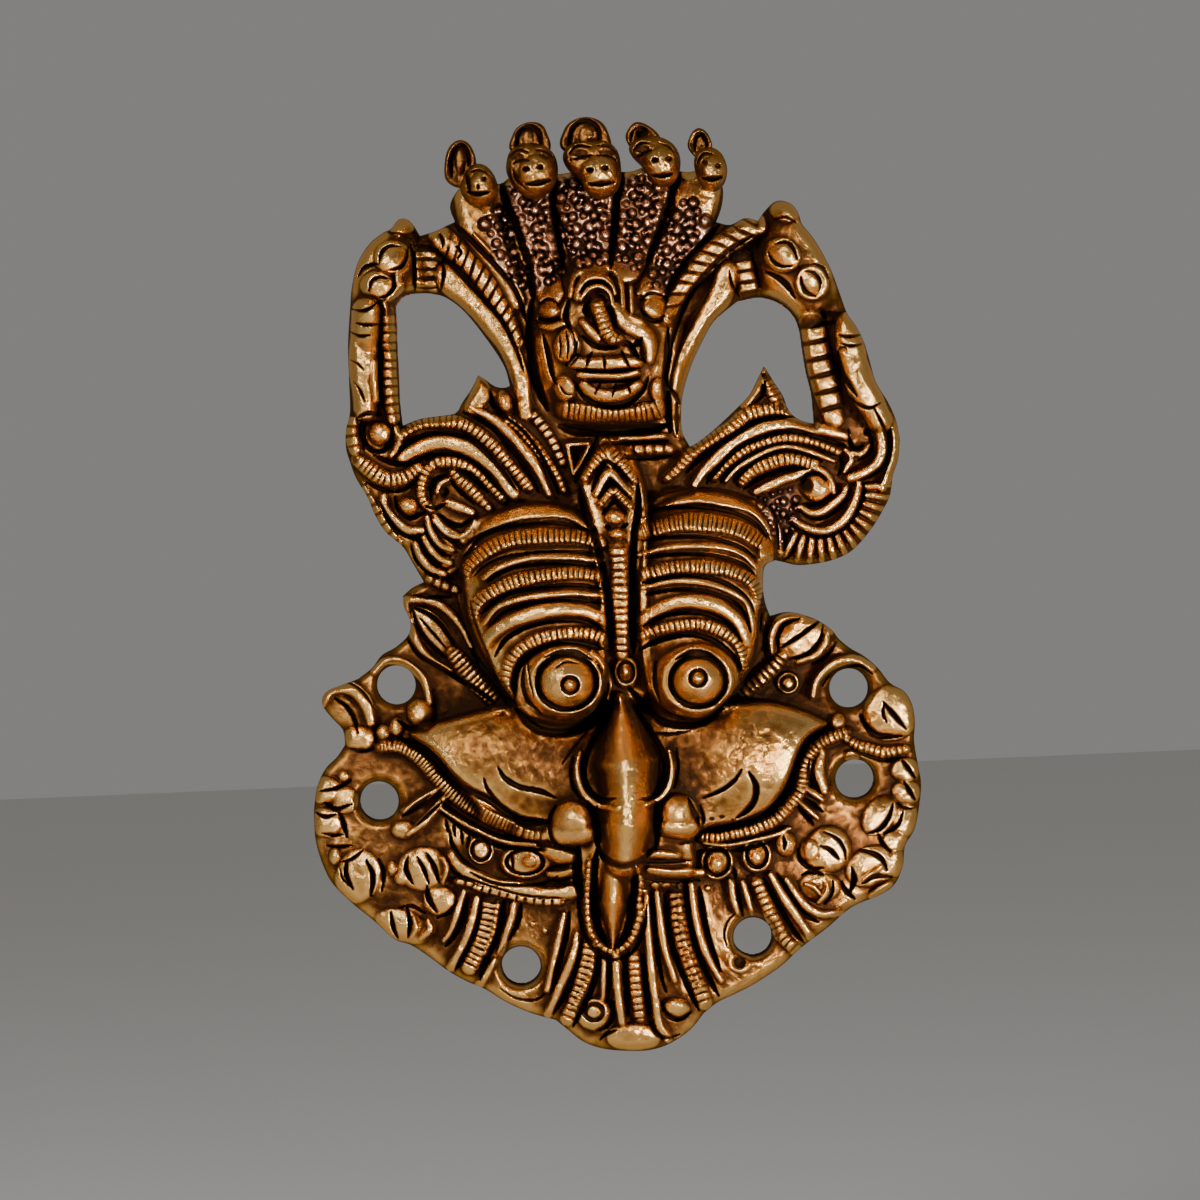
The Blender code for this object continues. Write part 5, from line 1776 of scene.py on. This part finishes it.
def value_ramp(tree, source, stops):
    """A ramp of grey values or colours over a value."""
    ramp = tree.nodes.new("ShaderNodeValToRGB")
    elements = ramp.color_ramp.elements
    while len(elements) < len(stops):
        elements.new(0.5)
    for element, (place, colour) in zip(elements, stops):
        element.position = place
        element.color = colour if isinstance(colour, tuple) else (colour, colour, colour, 1)
    tree.links.new(source, ramp.inputs[0])
    return ramp.outputs[0]


def maths(tree, operation, first, second):
    node = tree.nodes.new("ShaderNodeMath")
    node.operation = operation
    for socket, value in zip(node.inputs, (first, second)):
        if isinstance(value, (int, float)):
            socket.default_value = value
        else:
            tree.links.new(value, socket)
    return node.outputs[0]


# Noise in the brass: scale, detail and roughness, then its share in the wear
BROAD = (45, 3, 0.5)
BLOTCH = (260, 4, 0.6)
GRAIN = (1500, 4, 0.6)
BROAD_WEAR = 0.16
BLOTCH_WEAR = 0.10
GRAIN_WEAR = 0.08
BLOTCH_GLOSS = 0.2
BLOTCH_BUMP = 1.5
BUMP_STRENGTH = 0.4
BUMP_HEIGHT = 0.0006
GOLDEN_EDGE = (1.0, 0.68, 0.36, 1)


def worn_brass():
    """Old brass: dark in the recesses from patina and painted shade, brown on the slopes, pale where hands
    have worn it.
    """
    material = bpy.data.materials.new("worn_brass")
    material.use_nodes = True
    tree = material.node_tree
    shader = tree.nodes["Principled BSDF"]
    place = tree.nodes.new("ShaderNodeNewGeometry").outputs["Position"]
    wear = new_node(tree, "ShaderNodeAttribute", attribute_name="wear").outputs["Fac"]
    copper = new_node(tree, "ShaderNodeAttribute", attribute_name="copper").outputs["Fac"]

    def speckle(scale, detail, roughness):
        node = tree.nodes.new("ShaderNodeTexNoise")
        node.inputs["Scale"].default_value = scale
        node.inputs["Detail"].default_value = detail
        node.inputs["Roughness"].default_value = roughness
        tree.links.new(place, node.inputs["Vector"])
        return node.outputs["Fac"]

    def shifted(level, source, share):
        return maths(tree, "ADD", level, maths(tree, "MULTIPLY", maths(tree, "SUBTRACT", source, 0.5), share))

    broad = speckle(*BROAD)
    blotch = speckle(*BLOTCH)
    grain = speckle(*GRAIN)
    level = shifted(shifted(shifted(wear, blotch, BLOTCH_WEAR), broad, BROAD_WEAR), grain, GRAIN_WEAR)
    brassy = value_ramp(tree, level, [
        (0.08, (0.020, 0.008, 0.003, 1)),
        (0.27, (0.065, 0.022, 0.006, 1)),
        (0.46, (0.19, 0.072, 0.018, 1)),
        (0.62, (0.46, 0.20, 0.045, 1)),
        (0.88, (0.97, 0.55, 0.17, 1)),
    ])
    coppery = value_ramp(tree, level, [
        (0.10, (0.018, 0.007, 0.004, 1)),
        (0.30, (0.075, 0.028, 0.014, 1)),
        (0.50, (0.34, 0.15, 0.075, 1)),
        (0.86, (0.94, 0.58, 0.36, 1)),
    ])
    colour = tree.nodes.new("ShaderNodeMix")
    colour.data_type = "RGBA"
    tree.links.new(copper, colour.inputs["Factor"])
    tree.links.new(brassy, colour.inputs[6])
    tree.links.new(coppery, colour.inputs[7])
    tree.links.new(colour.outputs[2], shader.inputs["Base Color"])
    tree.links.new(value_ramp(tree, level, [(0.12, 0.5), (0.28, 1.0)]), shader.inputs["Metallic"])
    tree.links.new(value_ramp(tree, level, [(0.18, 0.04), (0.5, 0.5)]), shader.inputs["Specular IOR Level"])
    shader.inputs["Specular Tint"].default_value = GOLDEN_EDGE
    rough = value_ramp(tree, level, [(0.15, 0.60), (0.45, 0.36), (0.8, 0.24)])
    tree.links.new(shifted(rough, blotch, BLOTCH_GLOSS), shader.inputs["Roughness"])
    bump = tree.nodes.new("ShaderNodeBump")
    bump.inputs["Strength"].default_value = BUMP_STRENGTH
    bump.inputs["Distance"].default_value = BUMP_HEIGHT
    height = maths(tree, "ADD", grain, maths(tree, "MULTIPLY", blotch, BLOTCH_BUMP))
    tree.links.new(height, bump.inputs["Height"])
    tree.links.new(bump.outputs["Normal"], shader.inputs["Normal"])
    return material


brass = worn_brass()
for piece in pieces:
    piece.data.materials.append(brass)
    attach(piece, "root")
    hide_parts("mask")


# The stage: a pale floor, a pale room and soft lamps
def plain_material(name, colour, roughness):
    material = bpy.data.materials.new(name)
    material.use_nodes = True
    shader = material.node_tree.nodes["Principled BSDF"]
    shader.inputs["Base Color"].default_value = (*colour, 1)
    shader.inputs["Roughness"].default_value = roughness
    return material


bpy.ops.mesh.primitive_plane_add(size=FLOOR_SIZE, location=(0, 0, -FLOOR_DROP))
floor = bpy.context.object
floor.name = "floor"
floor.data.materials.append(plain_material("pale_floor", FLOOR_COLOUR, FLOOR_ROUGHNESS))

world = bpy.data.worlds.new("pale_room")
world.use_nodes = True
world.node_tree.nodes["Background"].inputs["Color"].default_value = ROOM_COLOUR
world.node_tree.nodes["Background"].inputs["Strength"].default_value = ROOM_STRENGTH
bpy.context.scene.world = world


def soft_lamp(name, place, target, size, power):
    lamp = bpy.data.lights.new(name, "AREA")
    lamp.shape = "RECTANGLE"
    lamp.size, lamp.size_y = size
    lamp.energy = power
    thing = bpy.data.objects.new(name, lamp)
    thing.location = place
    thing.rotation_mode = "QUATERNION"
    thing.rotation_quaternion = (Vector(target) - Vector(place)).to_track_quat("-Z", "Y")
    bpy.context.scene.collection.objects.link(thing)


soft_lamp("key", KEY_LAMP_AT, LAMPS_AIM, KEY_LAMP_SIZE, KEY_LAMP_WATTS)
soft_lamp("fill", FILL_LAMP_AT, LAMPS_AIM, FILL_LAMP_SIZE, FILL_LAMP_WATTS)

camera_data = bpy.data.cameras.new("camera")
camera_data.sensor_width = SENSOR_WIDTH
camera_data.lens = camera_data.sensor_width * VIEW_DISTANCE / (SHEET * UNIT)
camera = bpy.data.objects.new("camera", camera_data)
bpy.context.scene.collection.objects.link(camera)
middle = placed([(SHEET / 2, SHEET / 2)], [0])[0]
right = Vector((math.cos(LEAN), 0, -math.sin(LEAN)))
upward = Vector((math.sin(LEAN), 0, math.cos(LEAN)))
turn = Matrix((right, upward, Vector((0, -1, 0)))).transposed()
camera.matrix_world = Matrix.Translation(Vector(middle) + Vector((0, -VIEW_DISTANCE, 0))) @ turn.to_4x4()
camera_data.clip_start = NEAREST_SEEN
camera_data.clip_end = FARTHEST_SEEN
bpy.context.scene.camera = camera
